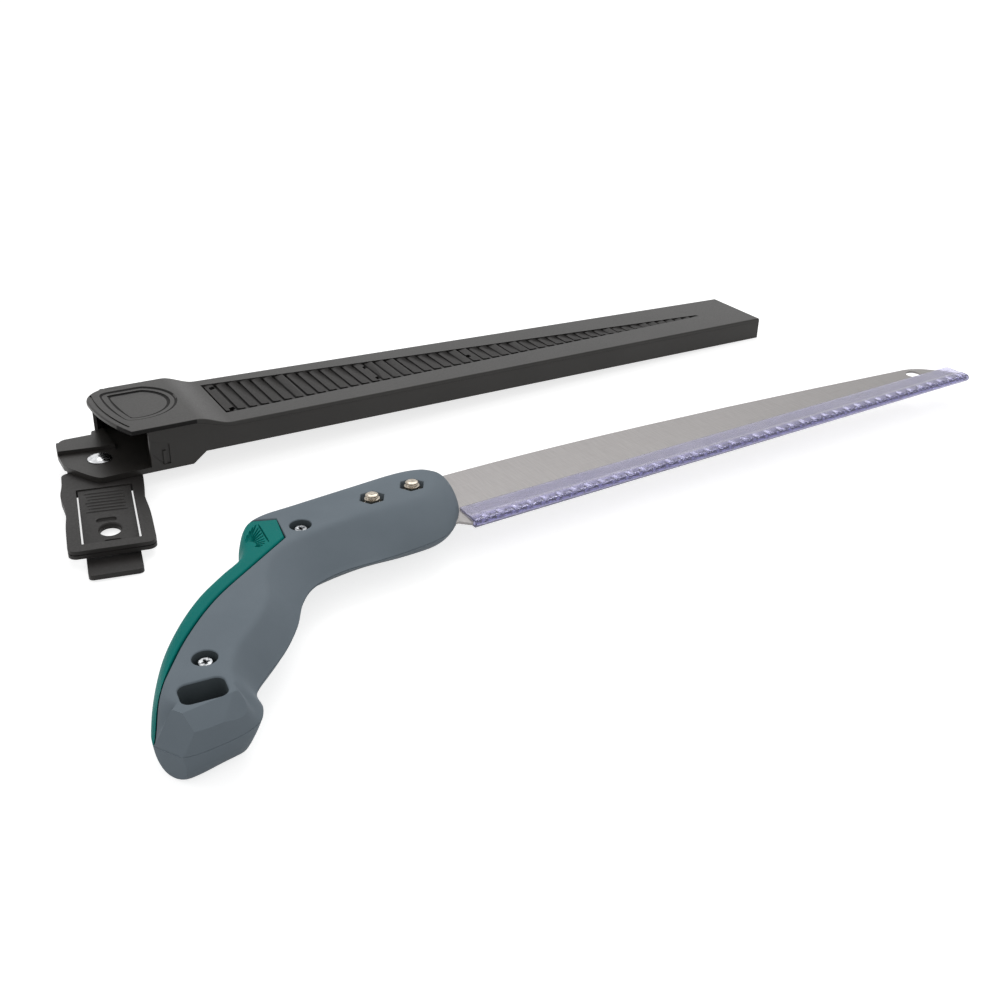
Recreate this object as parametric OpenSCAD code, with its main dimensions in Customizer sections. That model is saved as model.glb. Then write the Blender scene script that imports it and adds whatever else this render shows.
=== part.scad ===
// Pruning saw with a clear tooth guard and a belt sheath, as they lie on a table.
// Frame: the origin is on the table, midway between the two blade bolts.
// +X runs along the tooth edge to the tip, +Y to the back of the blade, +Z up.

/* [Blade] */
// Length of the toothed edge, heel to tip
tooth_edge_len = 323; // [260:1:380]
// Thickness of the blade sheet
blade_t = 1.2; // [0.8:0.1:2]
// Height of the blade at the heel, tooth points to back
blade_heel_h = 47; // [42:0.5:48]
// Height of the blade where the back turns down to the tip
blade_tip_h = 26; // [20:0.5:32]
// Distance between two tooth points
tooth_pitch = 4; // [3:0.25:6]
// Depth of the gullets between the teeth
tooth_depth = 3.4; // [2:0.1:4.5]
// Angle at which the tooth faces are ground, alternately to each side
fleam = 28; // [0:1:35]
// Diameter of the hang hole at the tip
hang_hole_d = 8.4; // [5:0.2:9]

/* [Handle] */
// Half of the handle's thickness, parting plane to flat side
handle_half_t = 14; // [12.5:0.5:17]
// Wall of the hollow grip
shell_wall = 3; // [2:0.25:4]
// Gap between the grip and the green spine insert
spine_gap = 0.5; // [0.2:0.1:0.8]
// Depth of the tongue that keys the spine insert into the grip
spine_key = 4; // [2:0.5:5]
// Thickness of that tongue
spine_key_t = 6; // [3:0.5:8]
// Ribs in the thumb fan
thumb_ribs = 11; // [7:1:13]
// Length of the lanyard slot
lanyard_l = 16.4; // [12:0.2:17]
// Width of the lanyard slot
lanyard_w = 11.6; // [8:0.2:12]

/* [Fasteners] */
// Distance between the two blade bolts
bolt_pitch = 20.5; // [18:0.5:23]
// Diameter of the blade bolts
bolt_d = 6; // [5:0.5:6.5]
// Width of the blade nuts across flats
nut_af = 10; // [9:0.5:11]
// Height of the blade nuts
nut_h = 5; // [4:0.5:6]
// Diameter of the bolt heads
bolt_head_d = 11.5; // [9:0.5:13]
// Height of the bolt heads
bolt_head_h = 3.6; // [2.5:0.2:4]
// Diameter of the shell screws
screw_d = 3.9; // [3:0.1:4.4]
// Diameter of the shell screw heads
screw_head_d = 7.2; // [6:0.2:8]
// Height of the shell screw heads
screw_head_h = 2.8; // [2:0.2:3.4]
// Depth of the round wells that hold the screw heads
screw_well = 5; // [3.6:0.2:6]

/* [Guard] */
// Height of the guard, rolled edge to lip
guard_h = 15.6; // [12:0.2:16]
// Wall of the guard
guard_wall = 1.2; // [0.8:0.1:1.6]
// Clearance of the guard to each face of the blade
guard_fit = 0.25; // [0.15:0.05:0.5]
// Distance between two grip bumps of the guard
bump_pitch = 8; // [6:0.5:12]

/* [Sheath] */
// Length by which the sheath is longer than the toothed edge
sheath_spare = 85; // [70:1:110]
// Width of the sheath at the toe
toe_w = 44; // [42:0.5:50]
// Width of the sheath at the head
head_w = 61; // [58:0.5:68]
// Thickness of the sheath body
body_h = 13; // [11:0.5:16]
// Height by which the head's roof stands above the body
head_rise = 5; // [3:0.5:8]
// Depth by which the head's floor lies below the body
head_drop = 5.6; // [4:0.2:8]
// Wall of the sheath
sheath_wall = 2; // [1.6:0.1:3]
// Pitch of the louvre ribs on the cover
louvre_pitch = 6.5; // [5:0.25:9]
// Depth of the louvre steps
louvre_depth = 1.1; // [0.6:0.1:1.4]

/* [Belt clip] */
// Width of the clip's frame
clip_w = 38; // [34:0.5:42]
// Distance from the rivet to the frame's front edge
clip_reach = 86; // [76:1:96]
// Thickness of the clip's frame
clip_t = 4; // [3:0.2:4.4]
// Width of the spring tongue
tongue_w = 23.4; // [18:0.2:24]
// Length of the tongue's tab past the frame
tab_len = 13; // [8:0.5:18]
// Diameter of the hole in the tongue
tongue_hole_d = 9.6; // [6:0.2:11]
// Swing of the clip from the sheath's length
clip_swing = 79; // [60:0.5:90]
// Diameter of the rivet shank
rivet_d = 6; // [5:0.5:7]
// Diameter of the rivet head
rivet_head_d = 12; // [10:0.5:14]

/* [Hidden] */
$fn = 48;
eps = 0.01;
far = 200;

// Clearances: between parts that are clamped, and of a shaft in its hole
seat_gap = 0.2;
shaft_gap = 0.05;
run_gap = 0.08;

// Blade: heel, tooth line, back and tip
heel_x = 28;
tooth_y = -23.3;
heel_cut = 4.7;
tip_x = heel_x + tooth_edge_len;
back_y = tooth_y + blade_heel_h;
turn_x = tip_x - 26;
turn_y = tooth_y + blade_tip_h;
belly_x = heel_x + tooth_edge_len * 0.33;
tip_nose_x = tip_x - 9;
hang_hole_at = [tip_x - 22.5, turn_y - 3.4 - hang_hole_d / 2];
back_bulge = 1.6;
tip_fall = 0.6;
tip_flat = 2.2;
tang_back = 25;
tang_half_h = 14;
tooth_land = 0.16;
curve_steps = 12;

// Handle: moulded edge at the parting plane, clockwise from the nose.
// Each row is x, y, how far the flat side is set back, and how square the shoulder is.
handle_edge = [
    [33.5, 6, 11, 1.7], [29.8, -7, 13, 1.5], [22.6, -17.8, 15, 1.35], [12, -26, 17, 1.25],
    [-5, -29, 18, 1.15], [-22, -29.6, 18, 1.06], [-38, -29.5, 15.5, 1.03], [-52.5, -34, 16.5, 1.06],
    [-61.5, -42.8, 14, 1.12], [-69.5, -56.5, 10.5, 1.1], [-80, -69.8, 9.5, 1.08], [-92, -81, 9, 1.1],
    [-98.3, -88.5, 7.5, 1.15], [-99.3, -97.5, 6.5, 1.15], [-104.5, -104.8, 5, 2], [-117, -108.2, 4, 5],
    [-131.6, -107.8, 4, 5], [-137.8, -98.8, 6.5, 2], [-135.6, -86.3, 6, 2], [-126.6, -66.4, 6.5, 2],
    [-115.6, -48.9, 6.5, 2], [-103, -34, 6.5, 2], [-90, -23, 6.5, 2], [-80.3, -16.3, 6, 2],
    [-76, -10.5, 5, 2], [-73, -1.3, 5, 2], [-67.2, 8.8, 5, 2], [-57.8, 15, 7, 2],
    [-42, 18.4, 10, 2], [-15, 21.8, 12, 2], [10, 24, 13, 2], [24.3, 21.3, 12, 1.8],
    [31.5, 14.3, 11, 1.7]];
// Rows of the butt whose set-back and shoulder differ in the lower half
low_from = 14;
low_rows = [[7, 1.2], [8, 1.5], [7, 2], [5.5, 2.2]];
// Facets of the butt's upper half: three points each, their heights as shares of the half thickness.
// The last one, at the corner, is in the lower half too.
butt_facets = [
    [[-127.5, -108.2, 0.71], [-116.5, -108.1, 0.64], [-121.4, -103.2, 1]],
    [[-116.5, -108.1, 0.64], [-103.2, -103.6, 0.31], [-113.7, -103.5, 1]],
    [[-138.3, -96.8, 0], [-131.8, -107.3, 0], [-129.3, -103.4, 1]]];
edge_steps = 3;
shoulder_levels = [for (t = [0:15:90]) sin(t)];

// Spine insert: the seam on the flat side, from the thumb rest to the butt
seam = [[-55.5, -11.2], [-74.5, -24.8], [-96.5, -41.8],
    [-114.2, -59.8], [-128.2, -78.8], [-138.2, -96.8]];
spine_head = [[-78, 18.9], [-53.2, 4]];
fan_at = [-57.5, -16];
fan_r = [9, 21];
fan_span = [92, 172];
fan_groove = 0.9;

// Fastener places on the handle
bolt_angle = 4.2;
bolt_front = bolt_pitch / 2 * [cos(bolt_angle), sin(bolt_angle)];
bolt_rear = -bolt_front;
neck_screw_at = [-46.5, -6.9];
butt_screw_at = [-111.8, -76.8];
boss_wall = 2.6;
well_gap = 1.1;
head_gap = 0.5;
nut_chamfer = 0.6;
screw_cross = [4, 0.9, 3];
nut_well = nut_h + 1.2;
head_well = bolt_head_h + 1.4;
bolt_end_above = 0.4;
bolt_chamfer = 0.7;
screw_end_above = 5;
lanyard_at = [-118.4, -94.3];
lanyard_turn = -6;
lanyard_corner = 3.5;

// Guard: overhang at the ends, rolled edge and bumps
guard_over = 0.6;
guard_back = 1;
guard_t = blade_t + 2 * guard_fit + 2 * guard_wall;
guard_y = tooth_y - guard_fit - guard_wall;
bump_rise = 0.55;
bump_from = 2.6;
bump_len = 3.2;
bump_first = 6.4;

// Sheath: own frame at the near corner of the toe, head towards minus x
sheath_at = [318, 113];
sheath_len = tooth_edge_len + sheath_spare;
roof_z = body_h + head_rise;
head_len = 38;
roof_slope = 18;
floor_slope = 7;
near_wall_back = 13.4;
far_wall_back = -0.4;
roof_bow_r = 105;
roof_bow_at = [roof_bow_r - 4.2 - sheath_len, 44];
roof_corner = 5;
floor_head_len = head_len - 3.6;
cover_t = sheath_wall;
tray_gap = 0.1;
// Rib under the cover that locates it inside the tray's toe wall: thickness, width, depth
toe_rib = [1, 30, 1.8];
louvre_start = head_len + roof_slope + 1;
louvre_end = 30;
louvre_near = 12.4;
louvre_far = 7.6;
louvre_tip_w = 2;
louvre_land = 0.15;
louvre_flat = 0.92;
plate_t = 2.8;
pad_rise = 2;
pad_line = [[-sheath_len - 26, 35.4], [3.5 - sheath_len, 30]];
tongue_back = 24;
tongue_near = 11;
tongue_far = 52;
rail = 2.4;
rail_z = [2.6, 8.6];
catch_deep = 0.8;
catch_block = [1.6, 7];
catch_block_at = [6.2, -2.3];

// Blank shield on the head's roof
shield_step = 0.5;
shield_band = 3;
shield_edge = 8;
shield_near = 13.5;
shield_far = 7.5;
shield_r = 21;
shield_at = [16 - sheath_len, 34.5];

// Rivet and clip: heights in the sheath's own frame
rivet_at = [-sheath_len - 6.6, 21.5];
clip_gap = 0.2;
clip_top = -head_drop - clip_gap;
clip_bottom = clip_top - clip_t;
washer_t = 1;
washer_d = 14;
rivet_dome = 2.2;
rivet_tail_h = 1.4;
rivet_tail_d = 9;
tongue_t = 2.4;
tongue_drop = 1.6;
tab_top = clip_bottom - tongue_drop;
clip_low = tab_top - tongue_t;
frame_bar = 6;
window_from = 26;
frame_from = 6;
window_w = clip_w - 2 * frame_bar;
clip_root_r = 16;
clip_corner = 4;
edge_groove = 0.5;
tongue_hole_from = 61;
tongue_root = 4;
tongue_flat = 8;
tongue_dip = 0.6;
tab_corner = 2.4;

// The sheath rests on its toe and on the near corner of the clip's tab
prop_run = -rivet_at[0] + (clip_reach + tab_len) * cos(clip_swing) - tongue_w / 2 * sin(clip_swing);
sheath_tilt = atan(-clip_low / prop_run);

// Smooth curve through four neighbouring values
function spline(a, b, c, d, t) =
    (2 * b + (c - a) * t + (2 * a - 5 * b + 4 * c - d) * t * t + (3 * b - a - 3 * c + d) * t * t * t) / 2;

function closed_curve(rows, steps) = let (n = len(rows))
    [for (i = [0:n - 1]) for (k = [0:steps - 1])
        spline(rows[(i + n - 1) % n], rows[i], rows[(i + 1) % n], rows[(i + 2) % n], k / steps)];

function open_curve(pts, steps) = let (m = len(pts) - 1)
    concat([for (i = [0:m - 1]) for (k = [0:steps - 1])
        spline(pts[max(i - 1, 0)], pts[i], pts[i + 1], pts[min(i + 2, m)], k / steps)], [pts[m]]);

function bow(a, b, c, steps) =
    [for (k = [0:steps]) let (t = k / steps) (1 - t) * (1 - t) * a + 2 * t * (1 - t) * b + t * t * c];

// Unit vector to the right of the step from a to b
function right_of(a, b) = let (d = b - a) [d[1], -d[0]] / norm(d);

// An open line of points moved sideways, to the right of its run
function beside(pts, gap) = let (m = len(pts) - 1)
    [for (i = [0:m]) pts[i] + gap * right_of(pts[max(i - 1, 0)], pts[min(i + 1, m)])];

function flat2(p) = [p[0], p[1]];

low_edge = [for (i = [0:len(handle_edge) - 1])
    let (row = handle_edge[i], k = i - low_from)
    k >= 0 && k < len(low_rows) ? concat(flat2(row), low_rows[k]) : row];
edge_curve = closed_curve(handle_edge, edge_steps);
low_curve = closed_curve(low_edge, edge_steps);
edge_n = len(edge_curve);

// Outline of the handle at a share of its half thickness, drawn in further by extra
function handle_ring(share, extra, low) =
    let (curve = low ? low_curve : edge_curve)
    [for (i = [0:edge_n - 1])
        let (p = curve[i],
            ahead = flat2(curve[(i + 1) % edge_n]),
            behind = flat2(curve[(i + edge_n - 1) % edge_n]),
            draw = 1 - pow(1 - pow(abs(share), p[3]), 1 / p[3]))
        flat2(p) + (p[2] * draw + extra) * right_of(behind, ahead)];

// Triangles that fill a ring of the handle, zigzag from the nose to the butt
function cap_point(k) = (edge_n - 1 + (k % 2 == 1 ? (k + 1) / 2 : edge_n - k / 2)) % edge_n;
cap_strip = [for (k = [0:edge_n - 3])
    [cap_point(k), cap_point(k + 1 + k % 2), cap_point(k + 2 - k % 2)]];

// Loft of the moulded handle through rings at shares of the half thickness, below 0 in the lower half
module handle_loft(shares, low) {
    rings = [for (s = shares) [for (p = handle_ring(s, 0, low || s < 0)) [p[0], p[1], s * handle_half_t]]];
    top = len(shares) - 1;
    walls = [for (j = [0:top - 1]) for (i = [0:edge_n - 1])
        let (k = (i + 1) % edge_n, low = j * edge_n, up = low + edge_n)
        [low + i, low + k, up + k, up + i]];
    floor_faces = [for (t = cap_strip) [t[2], t[1], t[0]]];
    roof_faces = [for (t = cap_strip) t + top * edge_n * [1, 1, 1]];
    polyhedron([for (r = rings) for (p = r) p], concat(walls, floor_faces, roof_faces), convexity = 8);
}

// Everything outside the plane through three points
module beyond(a, b, c) {
    along = (b - a) / norm(b - a);
    out = cross(b - a, c - a) / norm(cross(b - a, c - a));
    side = cross(out, along);
    multmatrix([for (i = [0:2]) [along[i], side[i], out[i], a[i]]])
        translate([-far, -far, 0]) cube([2 * far, 2 * far, far]);
}

// The part of the handle's butt that its facets cut away, above the parting plane or mirrored below it
module facet_waste(low) {
    for (i = [low ? len(butt_facets) - 1 : 0:len(butt_facets) - 1]) {
        f = butt_facets[i];
        corners = [for (p = f) [p[0], p[1], p[2] * handle_half_t]];
        beyond(corners[0], corners[1], corners[2]);
    }
}

// Plan of the spine insert, its seam moved into the grip by gap and its head by head_gap
module spine_plan(gap, head_gap) {
    line = beside(open_curve(seam, edge_steps), -gap);
    butt = line[len(line) - 1];
    out = [butt - [far, 0], [-far, spine_head[0][1]]];
    head = [for (p = spine_head) p + head_gap * right_of(spine_head[1], spine_head[0])];
    polygon(concat(head, line, out));
}

// Rounded rectangle of given size about the origin
module round_plan(size, r) {
    square([size[0] - 2 * r, size[1]], center = true);
    square([size[0], size[1] - 2 * r], center = true);
    for (x = [-1, 1], y = [-1, 1])
        translate([x * (size[0] / 2 - r), y * (size[1] / 2 - r)]) circle(r);
}

module lanyard_plan(grow = 0) {
    translate(lanyard_at) rotate(lanyard_turn)
        round_plan([lanyard_l + 2 * grow, lanyard_w + 2 * grow], lanyard_corner + grow);
}

// Plan of the blade's root: the tang and the stretch that passes through the nose
function root_plan(grow, reach) = [
    [reach, back_y + grow], [reach, tooth_y - grow], [heel_x - grow, tooth_y - grow],
    [heel_x - heel_cut - grow, tooth_y + heel_cut - grow], [-tang_back / 2, -tang_half_h - grow],
    [-tang_back - grow, -tang_half_h / 2], [-tang_back - grow, tang_half_h / 2],
    [-tang_back / 2, tang_half_h + grow], [heel_x - 2 * heel_cut, back_y + grow]];

// Hollow of one half of the grip, behind the tang
module grip_hollow_plan(low) {
    difference() {
        polygon(handle_ring(1, shell_wall, low));
        translate([-tang_back - shell_wall, -far]) square(2 * far);
        spine_plan(spine_gap + spine_key + shell_wall, shell_wall);
        lanyard_plan(shell_wall);
        translate([-far, lanyard_at[1] - far]) square([2 * far, far]);
        for (p = [neck_screw_at, butt_screw_at])
            translate(p) circle(screw_head_d / 2 + boss_wall + seat_gap);
    }
}

// What both halves of the handle share, above their parting plane
module half_shell(low) {
    difference() {
        handle_loft(shoulder_levels, low);
        facet_waste(low);
        translate([0, 0, -eps]) linear_extrude(handle_half_t + 1) spine_plan(spine_gap, spine_gap);
        translate([0, 0, -1]) linear_extrude(1 + spine_key_t / 2 + seat_gap)
            spine_plan(spine_gap + spine_key, -spine_key);
        translate([0, 0, -1]) linear_extrude(1 + blade_t / 2) polygon(root_plan(seat_gap, far));
        translate([0, 0, -1]) linear_extrude(1 + handle_half_t - shell_wall) grip_hollow_plan(low);
        translate([0, 0, -1]) linear_extrude(handle_half_t + 2) lanyard_plan();
        for (p = [bolt_front, bolt_rear])
            translate([p[0], p[1], -1]) cylinder(h = handle_half_t + 2, d = bolt_d + 2 * seat_gap);
    }
}

// Moves a part from the handle's parting plane to its place above the table
module on_parting() {
    translate([0, 0, handle_half_t]) children();
}

module handle_upper_shell() {
    color("slategray") on_parting() difference() {
        half_shell(false);
        for (p = [bolt_front, bolt_rear])
            translate([p[0], p[1], handle_half_t - nut_well])
                cylinder(h = far, d = (nut_af + 2 * seat_gap) / cos(30), $fn = 6);
        for (p = [neck_screw_at, butt_screw_at]) {
            translate([p[0], p[1], handle_half_t - screw_well])
                cylinder(h = far, d = screw_head_d + 2 * well_gap);
            translate([p[0], p[1], -1]) cylinder(h = handle_half_t, d = screw_d + 2 * shaft_gap);
        }
    }
}

module handle_lower_shell() {
    color("slategray") on_parting() mirror([0, 0, 1]) difference() {
        half_shell(true);
        for (p = [bolt_front, bolt_rear])
            translate([p[0], p[1], handle_half_t - head_well])
                cylinder(h = far, d = bolt_head_d + 2 * head_gap);
        for (p = [neck_screw_at, butt_screw_at])
            translate([p[0], p[1], -1])
                cylinder(h = handle_half_t + 2 - screw_end_above, d = screw_d + 2 * shaft_gap);
    }
}

module spine_insert() {
    both = concat([for (i = [len(shoulder_levels) - 1:-1:1]) -shoulder_levels[i]], shoulder_levels);
    color("teal") on_parting() difference() {
        union() {
            intersection() {
                handle_loft(both, false);
                linear_extrude(4 * handle_half_t, center = true) spine_plan(0, 0);
            }
            intersection() {
                linear_extrude(spine_key_t, center = true)
                    spine_plan(spine_gap + spine_key - seat_gap, -spine_key - seat_gap);
                linear_extrude(spine_key_t, center = true) polygon(handle_ring(0, handle_half_t / 2, false));
            }
        }
        facet_waste(false);
        mirror([0, 0, 1]) facet_waste(true);
        for (i = [0:thumb_ribs - 1])
            translate([fan_at[0], fan_at[1], handle_half_t])
                rotate(fan_span[0] + i * (fan_span[1] - fan_span[0]) / (thumb_ribs - 1))
                    translate([fan_r[0], 0, -fan_groove * cos(45)]) rotate([45, 0, 0])
                        cube([fan_r[1] - fan_r[0], fan_groove, fan_groove]);
    }
}

module blade_bolt(p) {
    shank = 2 * handle_half_t + bolt_end_above - head_well + bolt_head_h;
    color("lightgray") translate([p[0], p[1], head_well - bolt_head_h]) {
        cylinder(h = bolt_head_h, d = bolt_head_d);
        cylinder(h = shank - bolt_chamfer, d = bolt_d);
        translate([0, 0, shank - bolt_chamfer - eps])
            cylinder(h = bolt_chamfer + eps, d1 = bolt_d, d2 = bolt_d - 2 * bolt_chamfer);
    }
}

module blade_nut(p) {
    color("lightgray") translate([p[0], p[1], 2 * handle_half_t - nut_well]) difference() {
        intersection() {
            cylinder(h = nut_h, d = nut_af / cos(30), $fn = 6);
            cylinder(h = nut_h, d1 = nut_af / cos(30) + nut_h, d2 = nut_af - nut_chamfer);
        }
        translate([0, 0, -1]) cylinder(h = nut_h + 2, d = bolt_d + 2 * shaft_gap);
    }
}

module shell_screw(p) {
    color("silver") translate([p[0], p[1], 0]) difference() {
        union() {
            translate([0, 0, 2 * handle_half_t - screw_well]) cylinder(h = screw_head_h, d = screw_head_d);
            translate([0, 0, screw_end_above])
                cylinder(h = 2 * handle_half_t - screw_well - screw_end_above + 1, d = screw_d);
        }
        translate([0, 0, 2 * handle_half_t - screw_well + screw_head_h])
            for (a = [0, 90]) rotate(a) cube(screw_cross, center = true);
    }
}

// Plan of the blade without teeth
module blade_plan() {
    back = bow([heel_x, back_y], [belly_x, back_y + back_bulge], [turn_x, turn_y], curve_steps);
    tip = bow([turn_x, turn_y], [tip_nose_x, turn_y - tip_fall], [tip_x, tooth_y + tip_flat], curve_steps);
    polygon(root_plan(0, heel_x + eps));
    polygon(concat(back, tip, [[tip_x, tooth_y], [heel_x, tooth_y]]));
}

// One gullet, ground at the fleam angle to one side
module gullet(i) {
    translate([heel_x + (i + 0.5) * tooth_pitch, tooth_y, 0]) rotate([0, (i % 2 == 0 ? 1 : -1) * fleam, 0])
        linear_extrude(8 * blade_t, center = true)
            polygon([[-tooth_pitch / 2, -1], [tooth_land - tooth_pitch / 2, 0], [0, tooth_depth],
                [tooth_pitch / 2 - tooth_land, 0], [tooth_pitch / 2, -1]]);
}

module blade() {
    teeth = floor(tooth_edge_len / tooth_pitch);
    color("silver") on_parting() difference() {
        linear_extrude(blade_t, center = true) blade_plan();
        for (i = [0:teeth - 1]) gullet(i);
        for (p = [bolt_front, bolt_rear])
            translate([p[0], p[1], 0]) cylinder(h = 4 * blade_t, d = bolt_d + 2 * shaft_gap, center = true);
        translate(hang_hole_at) cylinder(h = 4 * blade_t, d = hang_hole_d, center = true);
    }
}

module blade_guard() {
    run = tooth_edge_len + guard_over - guard_back;
    bumps = floor((run - bump_first) / bump_pitch);
    color("lavender") on_parting() translate([heel_x + guard_back, guard_y, 0]) difference() {
        union() {
            rotate([90, 0, 90]) linear_extrude(run) {
                translate([guard_t / 2, -guard_t / 2]) square([guard_h - guard_t / 2, guard_t]);
                translate([guard_t / 2, 0]) circle(guard_t / 2);
            }
            for (i = [0:bumps])
                translate([bump_first + i * bump_pitch, bump_from, 0]) rotate([-90, 0, 0])
                    cylinder(h = bump_len, r = guard_t / 2 + bump_rise);
        }
        translate([-1, guard_wall, -blade_t / 2 - guard_fit])
            cube([run + 2, guard_h, blade_t + 2 * guard_fit]);
    }
}

// Moves a part from the sheath's own frame to its place on the table
module on_sheath() {
    translate([sheath_at[0], sheath_at[1], 0]) rotate([0, sheath_tilt, 0]) children();
}

// Plan of the sheath, drawn in by wall
module sheath_plan(wall = 0) {
    neck = head_len + roof_slope;
    polygon([[-wall, wall], [-wall, toe_w - wall], [neck - sheath_len, head_w - wall],
        [-sheath_len - far, head_w - wall], [-sheath_len - far, wall]]);
}

// Extrudes a side profile across the width of the sheath
module across() {
    translate([0, 2 * head_w, 0]) rotate([90, 0, 0]) linear_extrude(3 * head_w) children();
}

// Side profile of the roof, from height low to the top
module roof_profile(low) {
    neck = head_len - sheath_len;
    polygon([[1, body_h - low], [1, body_h], [neck + roof_slope, body_h], [neck, roof_z],
        [-sheath_len - far, roof_z], [-sheath_len - far, roof_z - low], [neck, roof_z - low],
        [neck + roof_slope, body_h - low]]);
}

// Side profile of everything below the roof, down to the floors of body and head
module under_roof_profile(up, head_up, low) {
    neck = head_len - sheath_len;
    sill = floor_head_len - sheath_len;
    polygon([[1, up], [1, body_h - low], [neck + roof_slope, body_h - low], [neck, roof_z - low],
        [-sheath_len - far, roof_z - low], [-sheath_len - far, head_up - head_drop],
        [sill, head_up - head_drop], [sill + floor_slope, up]]);
}

// Bowed outer edge of the head's roof
module roof_bow_plan() {
    translate(roof_bow_at) circle(roof_bow_r, $fn = 144);
    translate([roof_bow_at[0], -far]) square([far + sheath_len, 2 * far]);
}

// Everything but the far corner of the head, which is rounded
module roof_corner_plan() {
    at = [roof_corner - sheath_len, head_w - roof_corner];
    translate(at) circle(roof_corner);
    translate([at[0], -far]) square([far + sheath_len, 2 * far]);
    translate([-sheath_len - far, -far]) square([2 * far, far + at[1]]);
}

// Louvre field of the cover, a long wedge that narrows to the toe
module louvre_plan() {
    tip_y = (toe_w - louvre_tip_w) / 2;
    polygon([[louvre_start - sheath_len, louvre_near], [-louvre_end, tip_y],
        [-louvre_end, tip_y + louvre_tip_w], [louvre_start - sheath_len, head_w - louvre_far]]);
}

// Saw-edged side profile of the louvre steps, cut down from the cover's top
module louvre_profile() {
    count = floor((sheath_len - louvre_start - louvre_end) / louvre_pitch);
    steps = [for (i = [0:count - 1]) for (k = [0, 1])
        [louvre_start - sheath_len + (i + k * louvre_flat) * louvre_pitch,
            body_h - (k == 0 ? louvre_depth : louvre_land)]];
    polygon(concat(steps, [[-louvre_end, body_h + 1], [louvre_start - sheath_len, body_h + 1]]));
}

// Plan of the blank shield on the head's roof, drawn in by inset
module shield_plan(inset) {
    intersection() {
        translate([roof_bow_at[0] + shield_edge + inset, roof_bow_at[1]]) circle(roof_bow_r, $fn = 144);
        translate([-sheath_len, shield_near + inset])
            square([head_len, head_w - shield_near - shield_far - 2 * inset]);
        translate(shield_at) circle(shield_r - inset);
    }
}

module sheath_cover() {
    color("dimgray") on_sheath() difference() {
        union() {
            intersection() {
                across() roof_profile(cover_t);
                linear_extrude(4 * roof_z, center = true) intersection() {
                    sheath_plan();
                    roof_bow_plan();
                    roof_corner_plan();
                }
            }
            translate([-sheath_wall - tray_gap, (toe_w - toe_rib[1]) / 2, body_h - cover_t])
                translate([-toe_rib[0], 0, -toe_rib[2]]) cube(toe_rib + [0, 0, eps]);
        }
        for (i = [1, 2])
            translate([0, 0, roof_z - i * shield_step])
                linear_extrude(roof_z) shield_plan((i - 1) * shield_band);
        intersection() {
            across() louvre_profile();
            linear_extrude(2 * body_h) louvre_plan();
        }
    }
}

// Plan of the hanger plate, the floor of the head that runs on past the walls
module hanger_plan() {
    root = near_wall_back + sheath_wall - sheath_len;
    tail = -sheath_len - tongue_back;
    near = -sheath_len - tongue_near;
    polygon(concat([[root, 0]],
        bow([near, 0], [near - 4, 2], [tail, 22], curve_steps),
        bow([tail, 34], [tail + 1.5, tongue_far], [tail + 8, tongue_far], curve_steps),
        [[-sheath_len, tongue_far], [root, head_w]]));
}

// Snap recess in the near wall beside the mouth, seen from the side
module catch_profile() {
    wall = near_wall_back - sheath_len;
    polygon([[wall + 1, 11], [wall + 9.6, 8.2], [wall + 9.6, -2.6], [wall + 6, -2.6], [wall + 1, 3.6]]);
}

module sheath_tray() {
    near_end = near_wall_back - sheath_len;
    far_end = far_wall_back - sheath_len;
    color("dimgray") on_sheath() difference() {
        union() {
            difference() {
                intersection() {
                    across() under_roof_profile(0, 0, cover_t + tray_gap);
                    linear_extrude(6 * roof_z, center = true) intersection() {
                        sheath_plan();
                        roof_corner_plan();
                        polygon([[1, -1], [1, 2 * head_w], [far_end, 2 * head_w],
                            [far_end, head_w - 2 * sheath_wall],
                            [near_end, 2 * sheath_wall], [near_end, -1]]);
                    }
                }
                intersection() {
                    across() under_roof_profile(sheath_wall, plate_t, -1);
                    linear_extrude(6 * roof_z, center = true) sheath_plan(sheath_wall);
                }
            }
            translate([0, 0, -head_drop]) linear_extrude(plate_t) hanger_plan();
            translate([0, 0, -head_drop]) linear_extrude(plate_t + pad_rise) intersection() {
                hanger_plan();
                polygon(concat(pad_line, [[pad_line[1][0], far], [pad_line[0][0], far]]));
            }
            for (z = rail_z)
                translate([far_end, head_w - sheath_wall - rail, z])
                    cube([head_len + roof_slope - far_wall_back - rail, rail + eps, rail]);
        }
        difference() {
            translate([0, catch_deep, 0]) rotate([90, 0, 0]) linear_extrude(far) catch_profile();
            translate([near_end + catch_block_at[0], 0, catch_block_at[1]])
                cube([catch_block[0], far, catch_block[1]]);
        }
        translate([rivet_at[0], rivet_at[1], 0])
            cylinder(h = 4 * roof_z, d = rivet_d + 2 * shaft_gap, center = true);
    }
}

module on_rivet() {
    on_sheath() translate([rivet_at[0], rivet_at[1], 0]) children();
}

module hanger_rivet() {
    stem = plate_t + clip_gap + clip_t + clip_gap + washer_t;
    color("silver") on_rivet() {
        translate([0, 0, plate_t - head_drop]) intersection() {
            cylinder(h = rivet_dome, d = rivet_head_d);
            translate([0, 0, rivet_dome - rivet_head_d]) sphere(rivet_head_d);
        }
        translate([0, 0, plate_t - head_drop - stem]) cylinder(h = stem + eps, d = rivet_d);
        translate([0, 0, plate_t - head_drop - stem - rivet_tail_h])
            cylinder(h = rivet_tail_h, d = rivet_tail_d);
    }
}

module hanger_washer() {
    color("silver") on_rivet() translate([0, 0, clip_bottom - clip_gap - washer_t]) difference() {
        cylinder(h = washer_t, d = washer_d);
        translate([0, 0, -1]) cylinder(h = washer_t + 2, d = rivet_d + 2 * shaft_gap);
    }
}

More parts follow.
